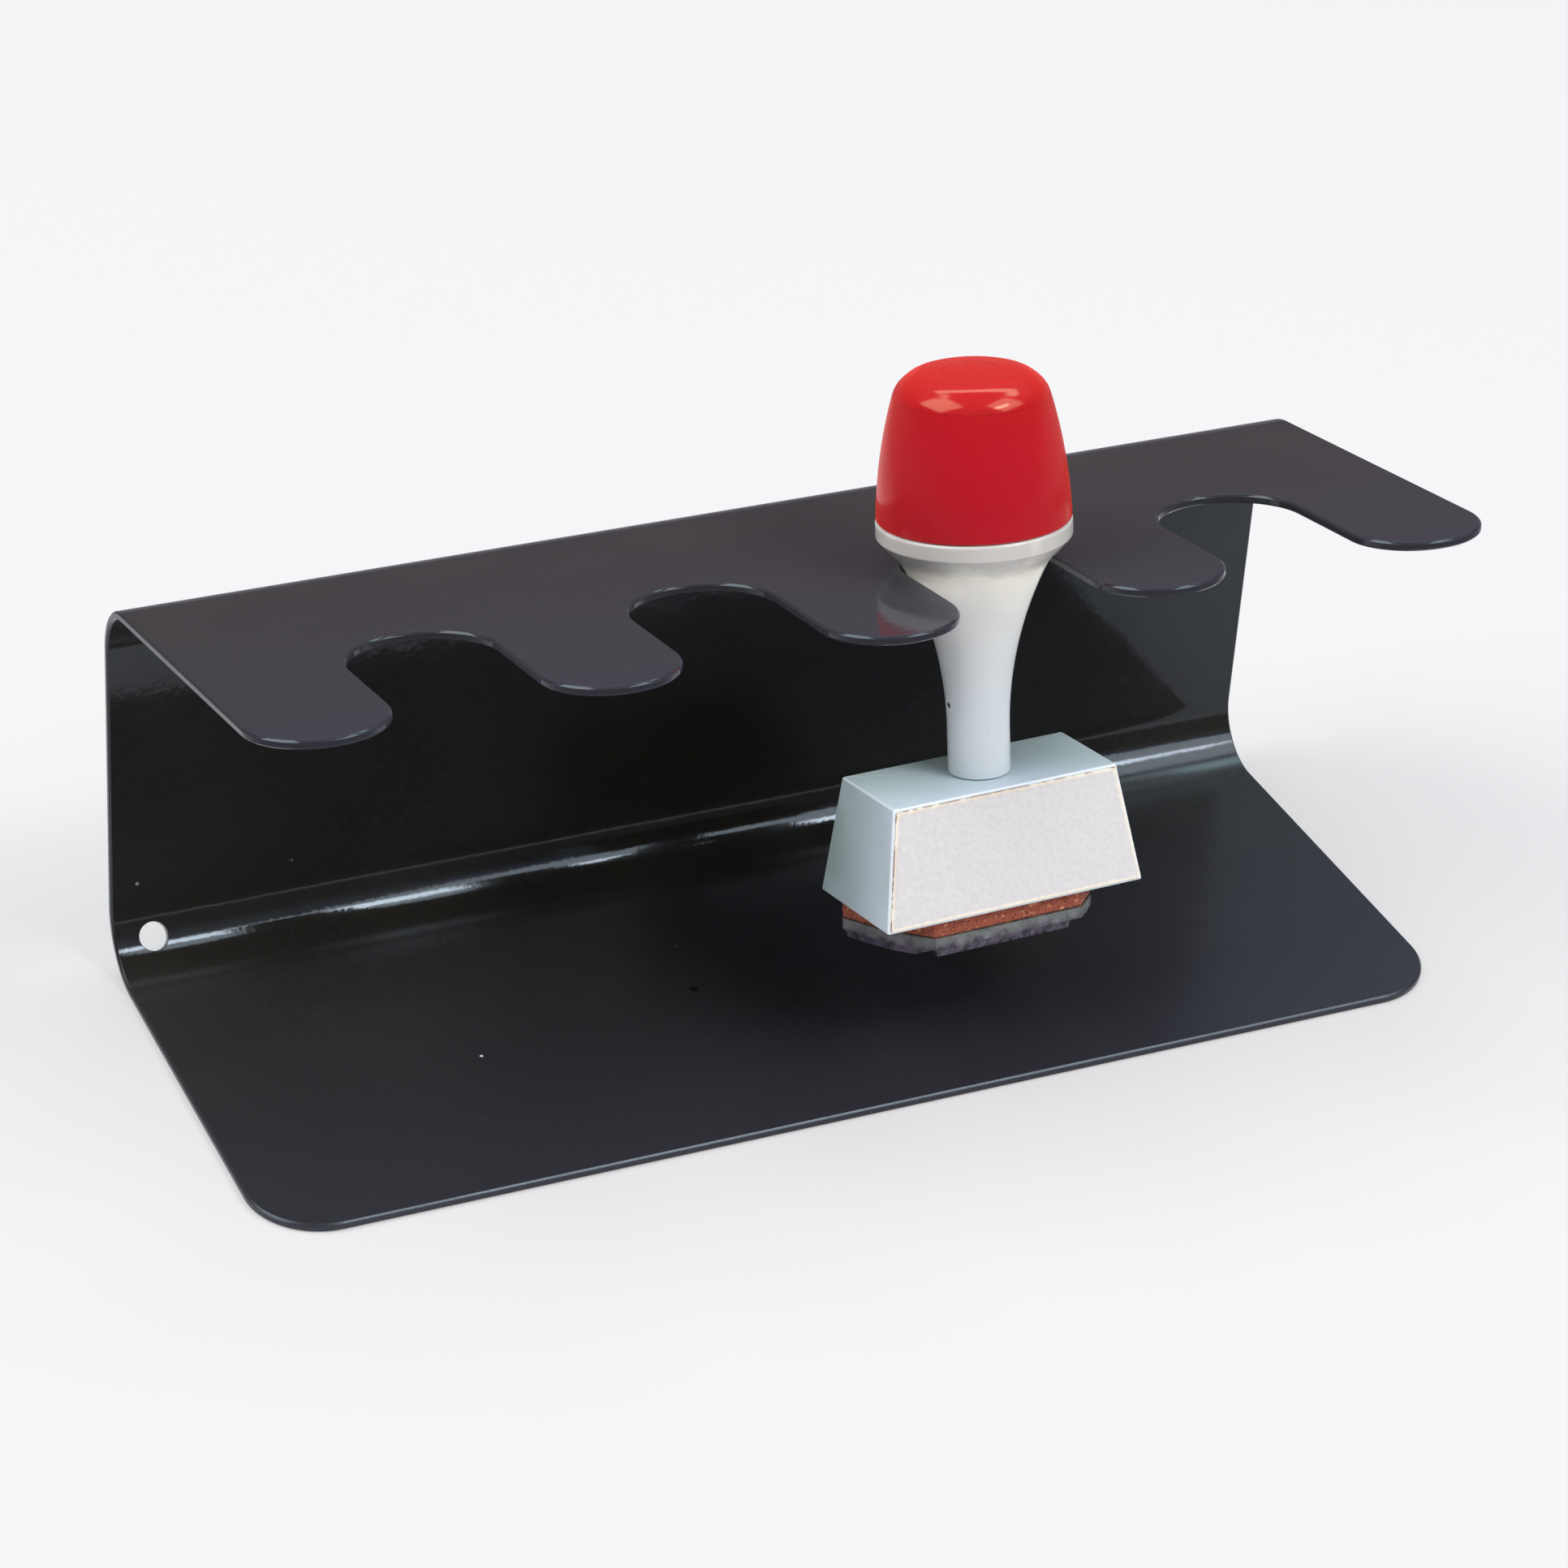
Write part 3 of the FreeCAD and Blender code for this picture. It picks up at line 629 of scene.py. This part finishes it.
def roundedRun(corners, closed=True):  # (x, y, rounding) corners to their arcs in one run
    run, count = [], len(corners)
    for index, (x, y, rounding) in enumerate(corners):
        before = corners[index - 1][:2] if closed or index > 0 else None
        after = corners[(index + 1) % count][:2] if closed or index < count - 1 else None
        run += cornerArc(before, (x, y), after, rounding)
    return run


def ringOf(corners, rounding, inset, parts):  # convex outline, anticlockwise, with parts on each side
    run, count, steps = [], len(corners), stamp["cornerSteps"]
    arcs = [cornerArc(corners[i - 1], corners[i], corners[(i + 1) % count], rounding, inset, steps)
            for i in range(count)]
    for index, arc in enumerate(arcs):
        sides = zip(arc[-1], arcs[(index + 1) % count][0])
        run += arc + list(zip(*(spread(start, end, parts[index])[1:-1] for start, end in sides)))
    return run


def bellySide(low, high, belly, steps):  # arc between two (radius, height) points that bulges outwards
    run = (high[0] - low[0], high[1] - low[1])
    length = hypot(*run)
    radius = (length ** 2 / 4 + belly ** 2) / (2 * belly)
    half = asin(length / 2 / radius)
    outward = (run[1] / length, -run[0] / length)
    centre = ((low[0] + high[0]) / 2 - outward[0] * (radius - belly),
              (low[1] + high[1]) / 2 - outward[1] * (radius - belly))
    found = []
    for angle in spread(-half, half, steps)[1:-1]:
        normal = turnedBy(outward, angle)
        found.append((centre[0] + normal[0] * radius, centre[1] + normal[1] * radius, 0))
    return found


def turnedMesh(run, closed=True):  # (radius, height, normal) run turned about Z
    steps, points, normals, faces, rings = stamp["aroundSteps"], [], [], [], []
    for radius, height, nr, nh in run:
        ring = []
        for step in range(steps if radius > 1e-6 else 1):
            angle = tau * step / steps
            points.append((radius * cos(angle), radius * sin(angle), height))
            normals.append((nr * cos(angle), nr * sin(angle), nh))
            ring.append(len(points) - 1)
        rings.append(ring)
    for low, high in zip(rings, rings[1:] + rings[:closed]):
        for step in range(steps):
            after = (step + 1) % steps
            corners = [ring[place % len(ring)] for ring, place in (
                (low, step), (low, after), (high, after), (high, step))]
            faces.append(tuple(dict.fromkeys(corners)))
    return points, faces, normals


def stackMesh(levels, closed=False):  # rings of (point, normal), closed as a tube or by two end faces
    points, normals = zip(*(pair for ring in levels for pair in ring))
    count = len(levels[0])
    rings = [list(range(start, start + count)) for start in range(0, len(points), count)]
    faces = [quad for low, high in zip(rings, rings[1:] + rings[:closed]) for quad in bridged(low, high)]
    return points, faces + ([] if closed else [rings[0][::-1], rings[-1]]), normals


# handle: shaft, flared neck, rim and the spigot inside the cap, moulded in one
handle = {
    "bore": 2.25, "shaft": 4.35, "shaftEnd": -30.3, "shaftTop": -24.0, "neck": 10.0, "flareSteps": 28,
    "lipHeight": 2.4, "lipSpread": 0.7, "lipRounding": 0.35, "rim": 13.5, "rimLow": 4.1, "rimTop": 6.4,
    "rimRounding": 0.5, "spigot": 11.62, "spigotTop": 11.4, "wall": 1.9, "cupFloor": -4.0,
    "cupFloorRadius": 5.6, "smallRounding": 0.2, "innerRounding": 0.6,
}


def handleMesh():
    h = handle
    flareRun, flareGain = -h["shaftTop"], h["neck"] - h["shaft"]
    flare = (flareRun ** 2 + flareGain ** 2) / (2 * flareGain)
    small, inner, cup = h["smallRounding"], h["innerRounding"], h["spigot"] - h["wall"]
    corners = [(h["bore"], h["shaftEnd"], small), (h["shaft"], h["shaftEnd"], small)]
    for height in spread(h["shaftTop"], h["lipHeight"], h["flareSteps"]):
        fall = sqrt(flare ** 2 - (height - h["shaftTop"]) ** 2)
        lip = h["lipSpread"] * (max(0.0, height) / h["lipHeight"]) ** 2
        corners.append((h["shaft"] + flare - fall + lip, height, 0))
    corners[-1] = (*corners[-1][:2], h["lipRounding"])
    corners += [
        (h["rim"], h["rimLow"], h["lipRounding"]), (h["rim"], h["rimTop"], h["rimRounding"]),
        (h["spigot"], h["rimTop"], small), (h["spigot"], h["spigotTop"], small),
        (cup, h["spigotTop"], small), (cup, h["rimLow"], inner),
        (h["cupFloorRadius"], h["cupFloor"], inner), (h["bore"], h["cupFloor"], small)]
    return turnedMesh(roundedRun(corners))


# cap: hollow, pushed onto the spigot, with a shallow round gate mark on top
cap = {
    "low": 6.5, "top": 27.3, "skirt": 13.4, "shoulder": 10.4, "drop": 2.4, "belly": 0.62, "sideSteps": 16,
    "shoulderRounding": 4.0, "dome": 0.35, "crownShares": (0.8, 0.65, 0.5), "edgeRounding": 0.2,
    "gateMark": 3.8, "gateDepth": 0.07, "gateRounding": 0.05, "gateMargin": 0.3,
    "bore": 11.7, "boreTop": 11.5, "wall": 1.7,
}


def capMesh():
    c = cap
    shoulderHeight, ceiling = c["top"] - c["drop"], c["top"] - c["wall"]
    hollow = (c["shoulder"] - c["wall"], shoulderHeight - c["wall"])
    inside = bellySide((c["bore"], c["boreTop"]), hollow, c["belly"], c["sideSteps"])
    outside = bellySide((c["skirt"], c["low"]), (c["shoulder"], shoulderHeight), c["belly"], c["sideSteps"])
    small, gate, edge = c["edgeRounding"], c["gateMark"], c["shoulder"] - c["drop"]
    gateTop = c["top"] - c["dome"] * (gate / edge) ** 2
    crown = [(edge * share, c["top"] - c["dome"] * share ** 2, 0) for share in c["crownShares"]]
    corners = [
        (0, ceiling, 0), (hollow[0] - c["drop"], ceiling, small), (*hollow, small), *reversed(inside),
        (c["bore"], c["boreTop"], small), (c["bore"], c["low"], small), (c["skirt"], c["low"], small),
        *outside, (c["shoulder"], shoulderHeight, c["shoulderRounding"]),
        (edge, c["top"] - c["dome"], c["shoulderRounding"]),
        *(point for point in crown if point[0] > gate + c["gateMargin"]),
        (gate, gateTop, c["gateRounding"]), (gate, gateTop - c["gateDepth"], c["gateRounding"]),
        (gate / 2, gateTop, 0), (0, gateTop, 0)]
    return turnedMesh(roundedRun(corners, closed=False), closed=False)


handlePiece = meshPiece("handleMoulding", *handleMesh(), place=stampPlace)
finishPiece(handlePiece, mouldedStyrene(), "handle_body", "handle")
capPiece = meshPiece("capMoulding", *capMesh(), place=stampPlace)
finishPiece(capPiece, tintedStyrene(), "cap_body", "cap")
print("handle and cap turned")

# mount block under the shaft, with the screw's hole and the nut's pocket
block = {
    "top": -30.45, "bottom": -47.45, "topLength": 35.0, "topWidth": 15.5, "bottomLength": 40.2,
    "bottomWidth": 20.2, "rounding": 0.3, "uprightRounding": 0.45, "edgeSteps": 4, "sideParts": 12,
    "hole": 2.25, "nutFlats": 7.2, "pocketDepth": 7.75,
    # rings and uprights marked paler: partly rubbed edges, partly a painted highlight on their rounding
    "topRings": (6, 7, 8), "footRings": (1, 2, 3), "uprights": (1, 2, 3), "footWearAndHighlight": 0.5,  # rubbed edges
}
blockHeight = block["top"] - block["bottom"]
blockLean = atan((block["bottomWidth"] - block["topWidth"]) / 2 / blockHeight)


def blockSize(z):  # length and width at a height
    share = (z - block["bottom"]) / blockHeight
    return [block["bottom" + side] + (block["top" + side] - block["bottom" + side]) * share
            for side in ("Length", "Width")]


def blockMesh():
    b, edge, levels = block, block["rounding"], []

    def addLevel(z, tilt):  # one ring round the outside, with its normals tilted up
        length, width = blockSize(z)
        corners = [(side * length / 2, end * width / 2) for side, end in square]
        out = cos(tilt)
        ring = ringOf(corners, b["uprightRounding"], edge * (1 - out), [b["sideParts"]] * 4)
        levels.append([((x, y, z), (nx * out, ny * out, sin(tilt))) for x, y, nx, ny in ring])

    for tilt in spread(-pi / 2, blockLean, b["edgeSteps"]):
        addLevel(b["bottom"] + edge * (1 + sin(tilt)), tilt)
    for tilt in spread(blockLean, pi / 2, b["edgeSteps"]):
        addLevel(b["top"] - edge * (1 - sin(tilt)), tilt)
    angles = [atan2(point[1], point[0]) for point, normal in levels[-1]]
    for corner in range(6):  # the nut's pocket keeps its six corners
        wanted = remainder(tau * corner / 6, tau)
        nearest = min(range(len(angles)), key=lambda i: abs(remainder(angles[i] - wanted, tau)))
        angles[nearest] = wanted

    def addInner(z, up, radius=None):  # without a radius it follows the nut's flats
        ring = []
        for angle in angles:
            reach = radius or b["nutFlats"] / 2 / cos(remainder(angle - tau / 12, tau / 6))
            c, s, level = cos(angle), sin(angle), 1 - abs(up)
            ring.append(((reach * c, reach * s, z), (-c * level, -s * level, up)))
        levels.append(ring)

    pocketTop = b["bottom"] + b["pocketDepth"]
    addInner(b["top"], 1.0, b["hole"] + edge)
    addInner(b["top"] - edge, 0.0, b["hole"])
    addInner(pocketTop, 0.0, b["hole"])
    addInner(pocketTop, -1.0)
    addInner(b["bottom"], 0.0)
    wearAndHighlight, outside = [], 2 * (b["edgeSteps"] + 1)
    for number, ring in enumerate(levels):
        for index in range(len(ring)):
            upright = index % (stamp["cornerSteps"] + b["sideParts"]) in b["uprights"] and number < outside
            foot = b["footWearAndHighlight"] if number in b["footRings"] else 0.0
            wearAndHighlight.append(1.0 if upright or number in b["topRings"] else foot)
    return (*stackMesh(levels, closed=True), wearAndHighlight)


*blockShape, blockWearAndHighlight = blockMesh()
blockPiece = meshPiece("mountBlock", *blockShape, place=stampPlace)
markPoints(blockPiece, "wearAndHighlight", blockWearAndHighlight)
finishPiece(blockPiece, mouldedAbs(), "mount_body", "mount_block")
print("mount block:", len(blockPiece.data.vertices), "points")

# card on the block's sloping front face, cut by hand, so its edges waver a little
label = {
    "margin": 0.35, "thickness": 0.2, "waver": 0.035, "parts": 40, "rounding": 0.3, "seed": 5,
    # rings round the edge and over the flat face, where five keep its shading even: share of thickness,
    # outward share of the normal, inset in mm, shrinking, border mark, cut edge mark
    "rings": [(0.0, 0.0, 0.0, 1.0, 1.0, 1.0), (0.75, 0.3, 0.0, 1.0, 1.0, 1.0),
              (0.95, 0.8, 0.03, 1.0, 1.0, 0.6), (1.0, 1.0, 0.08, 1.0, 1.0, 0.2)]
             + [(1.0, 1.0, 0.9, shrink, 0.0, 0.0) for shrink in (1.0, 0.75, 0.5, 0.25, 0.01)],
    "cleanCut": 0.1,  # for sides that aren't browned
}


def labelMesh():
    draw, margin = random.Random(label["seed"]), label["margin"]

    def halfAt(z):
        return blockSize(z)[0] / 2 - margin

    low, high = block["bottom"] + margin, block["top"] - margin
    middle = (low + high) / 2
    outline = [(-halfAt(low), low), (halfAt(low), low), (halfAt(high), high), (-halfAt(high), high)]
    ragged = [(x - nx * draw.uniform(0, label["waver"]), z - nz * draw.uniform(0, label["waver"]), nx, nz)
              for x, z, nx, nz in ringOf(outline, label["rounding"], 0.0, [label["parts"]] * 4)]
    front, up = -cos(blockLean), sin(blockLean)  # square to the face
    levels, border, cutEdge = [], [], []
    for lift, out, inset, shrink, borderMark, cutMark in label["rings"]:
        side = sqrt(1 - out ** 2)
        lift *= label["thickness"]
        shrinkX = shrink * (1 - inset / halfAt(middle))
        shrinkZ = shrink * (1 - inset / (middle - low))
        ring = []
        for x, z, nx, nz in ragged:
            height = middle + (z - middle) * shrinkZ
            point = (x * shrinkX, -blockSize(height)[1] / 2 + front * lift, height + up * lift)
            ring.append((point, (nx * side, front * out, nz * side + up * out)))
            border.append(borderMark)
            cutEdge.append(cutMark * (1.0 if nx < -0.5 or nz > 0.5 else label["cleanCut"]))
        levels.append(ring)
    return (*stackMesh(levels), border, cutEdge)


*labelShape, labelBorder, labelCutEdge = labelMesh()
labelPiece = meshPiece("titleCard", *labelShape, place=stampPlace)
markPoints(labelPiece, "border", labelBorder)
markPoints(labelPiece, "cutEdge", labelCutEdge)
finishPiece(labelPiece, uncoatedCard(), "mount_body", "title_label")

# trimmed outline that the cushion and the die share
dieCut = {
    "left": -19.4, "right": 14.6, "half": 8.6, "corner": 3.5, "longCut": 7.4, "kneeInset": 3.1,
    "kneeRise": 5.8,
}


def dieOutline():
    d = dieCut
    left, right, front, back, cut = d["left"], d["right"], -d["half"], d["half"], d["corner"]
    return [(left + d["longCut"], front), (right - cut, front), (right, front + cut), (right, back - cut),
            (right - cut, back), (left + cut, back), (left, back - cut),
            (left + d["kneeInset"], front + d["kneeRise"])]


# cushion of sponge rubber: its sliced sides are torn open, so each point is pitted inwards
cushion = {
    "top": -47.65, "bottom": -50.05, "rounding": 0.3, "spacing": 0.33, "levels": 10,
    "poreMm": 0.55, "pit": 0.3, "endPit": 0.15,
}


def cushionMesh():
    c, outline = cushion, dieOutline()
    parts = [max(1, round(dist(corner, outline[(index + 1) % len(outline)]) / c["spacing"]))
             for index, corner in enumerate(outline)]
    levels = []
    for z in spread(c["bottom"], c["top"], c["levels"] - 1):
        ring = []
        for x, y, nx, ny in ringOf(outline, c["rounding"], 0.0, parts):
            pit = c["pit"] * abs(noise.noise(Vector((x, y, z)) / c["poreMm"]))
            if z in (c["bottom"], c["top"]):
                pit = c["endPit"]
            ring.append(((x - nx * pit, y - ny * pit, z), None))
        levels.append(ring)
    return stackMesh(levels)[:2]


cushionPiece = meshPiece("spongeCushion", *cushionMesh(), place=stampPlace)
finishPiece(cushionPiece, spongeRubber(), "mount_body", "cushion")
print("cushion:", len(cushionPiece.data.vertices), "points")

# printing die: a knife-cut plate with plain raised bars, long ones and short ones, in place of any wording
die = {
    "top": -50.25, "plateBottom": -51.85, "faceBottom": -53.05, "rounding": 0.15, "shoulder": 0.25,
    "rim": 0.4, "rimWidth": 1.0, "barWidth": 1.5, "rows": 4, "rowPitch": 3.3, "overlap": 0.1, "seed": 11,
    "longBar": (3.0, 5.5), "shortBar": (0.8, 2.0), "gap": (0.15, 0.3), "longShare": 0.3,
    "midReach": 3.4, "endReach": 6.2, "rightGain": 1.2,
    "rimCorner": 0.01,
}


def dieBars():  # (centre, direction, length, width) of every raised bar
    d, draw, corners, bars = die, random.Random(die["seed"]), dieOutline(), []

    def fill(start, end, width, longUntil):  # long bars up to a share of the way, then short ones
        run = Vector(end) - Vector(start)
        length, along = run.length, run.normalized()
        place = 0.0
        while True:
            bar = draw.uniform(*(d["longBar"] if place / length < longUntil else d["shortBar"]))
            if place + bar > length:
                return
            bars.append((Vector(start) + along * (place + bar / 2), along, bar, width))
            place += bar + draw.uniform(*d["gap"])

    inset = d["rim"] + d["rimWidth"] / 2
    rim = ringOf(corners, inset + d["rimCorner"], inset, [1] * len(corners))[::stamp["cornerSteps"] + 1]
    for index, start in enumerate(rim):
        end = rim[(index + 1) % len(rim)]
        fill(start[:2], end[:2], d["rimWidth"], d["longShare"] if index == 0 else 1.0)
    for row in range(d["rows"]):
        y = (row - (d["rows"] - 1) / 2) * d["rowPitch"]
        reach = d["midReach"] if abs(y) < d["rowPitch"] else d["endReach"]
        fill((dieCut["left"] + reach, y), (dieCut["right"] - reach + d["rightGain"], y), d["barWidth"], 0.0)
    return bars


def dieMesh():
    d, outline = die, dieOutline()
    ring = ringOf(outline, d["rounding"], 0.0, [1] * len(outline))
    levels = [[((x, y, z), None) for x, y, nx, ny in ring] for z in (d["plateBottom"], d["top"])]
    plate = meshPiece("printingDie", *stackMesh(levels)[:2], place=stampPlace)
    points, faces = [], []
    for centre, along, length, width in dieBars():
        across = Vector((-along.y, along.x))
        first = len(points)
        for z, grow in ((d["faceBottom"], 0.0), (d["plateBottom"] + d["overlap"], d["shoulder"])):
            for end, side in square:
                corner = centre + along * end * (length / 2 + grow) + across * side * (width / 2 + grow)
                points.append((corner.x, corner.y, z))
        for quad in ((3, 2, 1, 0), (4, 5, 6, 7), (0, 1, 5, 4), (1, 2, 6, 5), (2, 3, 7, 6), (3, 0, 4, 7)):
            faces.append(tuple(first + i for i in quad))
    bars = meshPiece("dieBars", points, faces, place=stampPlace)
    join = plate.modifiers.new("bars", "BOOLEAN")
    join.operation = "UNION"
    join.solver = "EXACT"
    join.use_self = True
    join.object = bars
    bpy.context.view_layer.update()
    joined = bpy.data.meshes.new_from_object(plate.evaluated_get(bpy.context.evaluated_depsgraph_get()))
    plate.modifiers.clear()
    plate.data = joined
    joined.shade_flat()
    bpy.data.objects.remove(bars)
    return plate


diePiece = dieMesh()
finishPiece(diePiece, vulcanisedRubber(), "mount_body", "rubber_die")
print("die:", len(diePiece.data.vertices), "points")

# small carried pieces keep their construction shape
carried = {
    "handle_screw": zincPlatedSteel(), "screw_washer": zincPlatedSteel(), "mount_nut": zincPlatedSteel(),
    "mount_tape": adhesiveFilm(), "die_tape": adhesiveFilm(),
}
for nodeName, material in carried.items():
    for materialSlot in frame["nodes"][nodeName].material_slots:
        materialSlot.material = material
print("carried pieces finished:", len(carried))

# pale studio floor, room and lamps
studio = {
    "floorSize": 12.0, "floorDrop": 0.00002, "floorTone": "eeedee", "floorGlow": 0.45, "floorBody": "d2cdcd",
    # painted shade: gloss that mirrors the floor away from the object sees this dim tone in its place
    "mirroredShadeTone": "868088", "far": {"From Min": 0.12, "From Max": 0.26},  # as gloss mirrors the floor
    "room": [(0.0, "868088"), (0.04, "6c5a5e"), (0.4, "6a666a"), (0.56, "a0a8ba")],  # by height of the view
    "aim": (0.0, 0.0, 0.04),
}
# lamps: degrees round from the front to the right, degrees up, metres away, width, height, radiance, colour
lamps = {
    "keyRight": (45.5, 52, 2.0, 1.30, 1.30, 3.9, "f3f5f2"),
    "keyCore": (33, 50.5, 1.98, 0.74, 0.23, 15.0, "ffffff"),
    "fillLeft": (-100, 48, 2.0, 1.60, 1.46, 4.7, "f8f7f3"),
    "topPanel": (154, 65, 2.0, 2.6, 0.46, 5.6, "d8f2ee"),
    "frontFill": (12, 5, 2.0, 1.6, 0.9, 1.1, "ffffff"),
}
softLamps = ("frontFill",)  # these give no highlight


def studioFloor():
    half, low = studio["floorSize"] / 2, -studio["floorDrop"]
    mesh = bpy.data.meshes.new("floor")
    mesh.from_pydata([(side * half, end * half, low) for side, end in square], [], [(0, 1, 2, 3)])
    material, tree, point = newMaterial("paleSweepPaper")
    path = addNode(tree, "LightPath")
    body = addNode(tree, "BsdfDiffuse", {"Color": studio["floorBody"]})
    glow = addNode(tree, "Emission", {"Color": studio["floorTone"]})
    share = addNode(tree, "Math", {"operation": "MULTIPLY", 1: studio["floorGlow"]},
                    {0: path.outputs["Is Camera Ray"]})
    blend = addNode(tree, "MixShader", links={0: share, 1: body, 2: glow})
    # painted shade: for gloss rays the floor turns to a dim tone away from the object
    reach = addNode(tree, "VectorMath", {"operation": "LENGTH"}, {0: point})
    far = addNode(tree, "MapRange", studio["far"], {"Value": reach})
    mirrored = addNode(tree, "Math", {"operation": "MULTIPLY"}, {0: far, 1: path.outputs["Is Glossy Ray"]})
    mirroredShade = addNode(tree, "Emission", {"Color": studio["mirroredShadeTone"]})
    withMirroredShade = addNode(tree, "MixShader", links={0: mirrored, 1: blend, 2: mirroredShade})
    addNode(tree, "OutputMaterial", links={"Surface": withMirroredShade})
    mesh.materials.append(material)
    sceneObject("floor", mesh)


def studioRoom():
    world = bpy.data.worlds.new("studioRoom")
    bpy.context.scene.world = world
    tree = emptyTree(world)
    direction = addNode(tree, "TexCoord").outputs["Generated"]
    up = addNode(tree, "SeparateXYZ", links={"Vector": direction}).outputs["Z"]
    tone = addNode(tree, "ValToRGB", {"stops": studio["room"]}, {"Fac": up})
    room = addNode(tree, "Background", {"Strength": 1.0}, {"Color": tone})
    addNode(tree, "OutputWorld", links={"Surface": room})


def studioLamp(name, around, up, away, width, height, radiance, colour):
    light = bpy.data.lights.new(name, "AREA")
    light.shape = "RECTANGLE"
    light.size, light.size_y = width, height
    light.energy = radiance * pi * width * height
    light.color = hexColour(colour)[:3]
    lamp = sceneObject(name, light)
    around, up = radians(around), radians(up)
    direction = Vector((sin(around) * cos(up), -cos(around) * cos(up), sin(up)))
    lamp.location = Vector(studio["aim"]) + direction * away
    lamp.rotation_mode = "QUATERNION"
    lamp.rotation_quaternion = direction.to_track_quat("Z", "Y")
    lamp.visible_camera = False
    lamp.visible_glossy = name not in softLamps


studioFloor()
studioRoom()
for name, values in lamps.items():
    studioLamp(name, *values)
print("studio ready:", len(lamps), "lamps")

# camera: place in metres, its right, up and forward directions, lens for a 36 mm wide sensor
view = {
    "place": (-0.26117, -0.52749, 0.40515), "right": (0.91195, -0.40601, 0.05906),
    "up": (0.17233, 0.50969, 0.84290), "ahead": (0.37233, 0.75852, -0.53479), "lens": 113.89, "sensor": 36.0,
    "clip": (0.01, 40.0),
}
lens = bpy.data.cameras.new("bench")
lens.lens, lens.sensor_width = view["lens"], view["sensor"]
lens.clip_start, lens.clip_end = view["clip"]
camera = sceneObject("bench", lens)
turn = Matrix((view["right"], view["up"], [-value for value in view["ahead"]])).transposed()
camera.matrix_world = Matrix.Translation(Vector(view["place"])) @ turn.to_4x4()
bpy.context.scene.camera = camera
bpy.context.scene.view_settings.view_transform = "Standard"

print("scene finished")
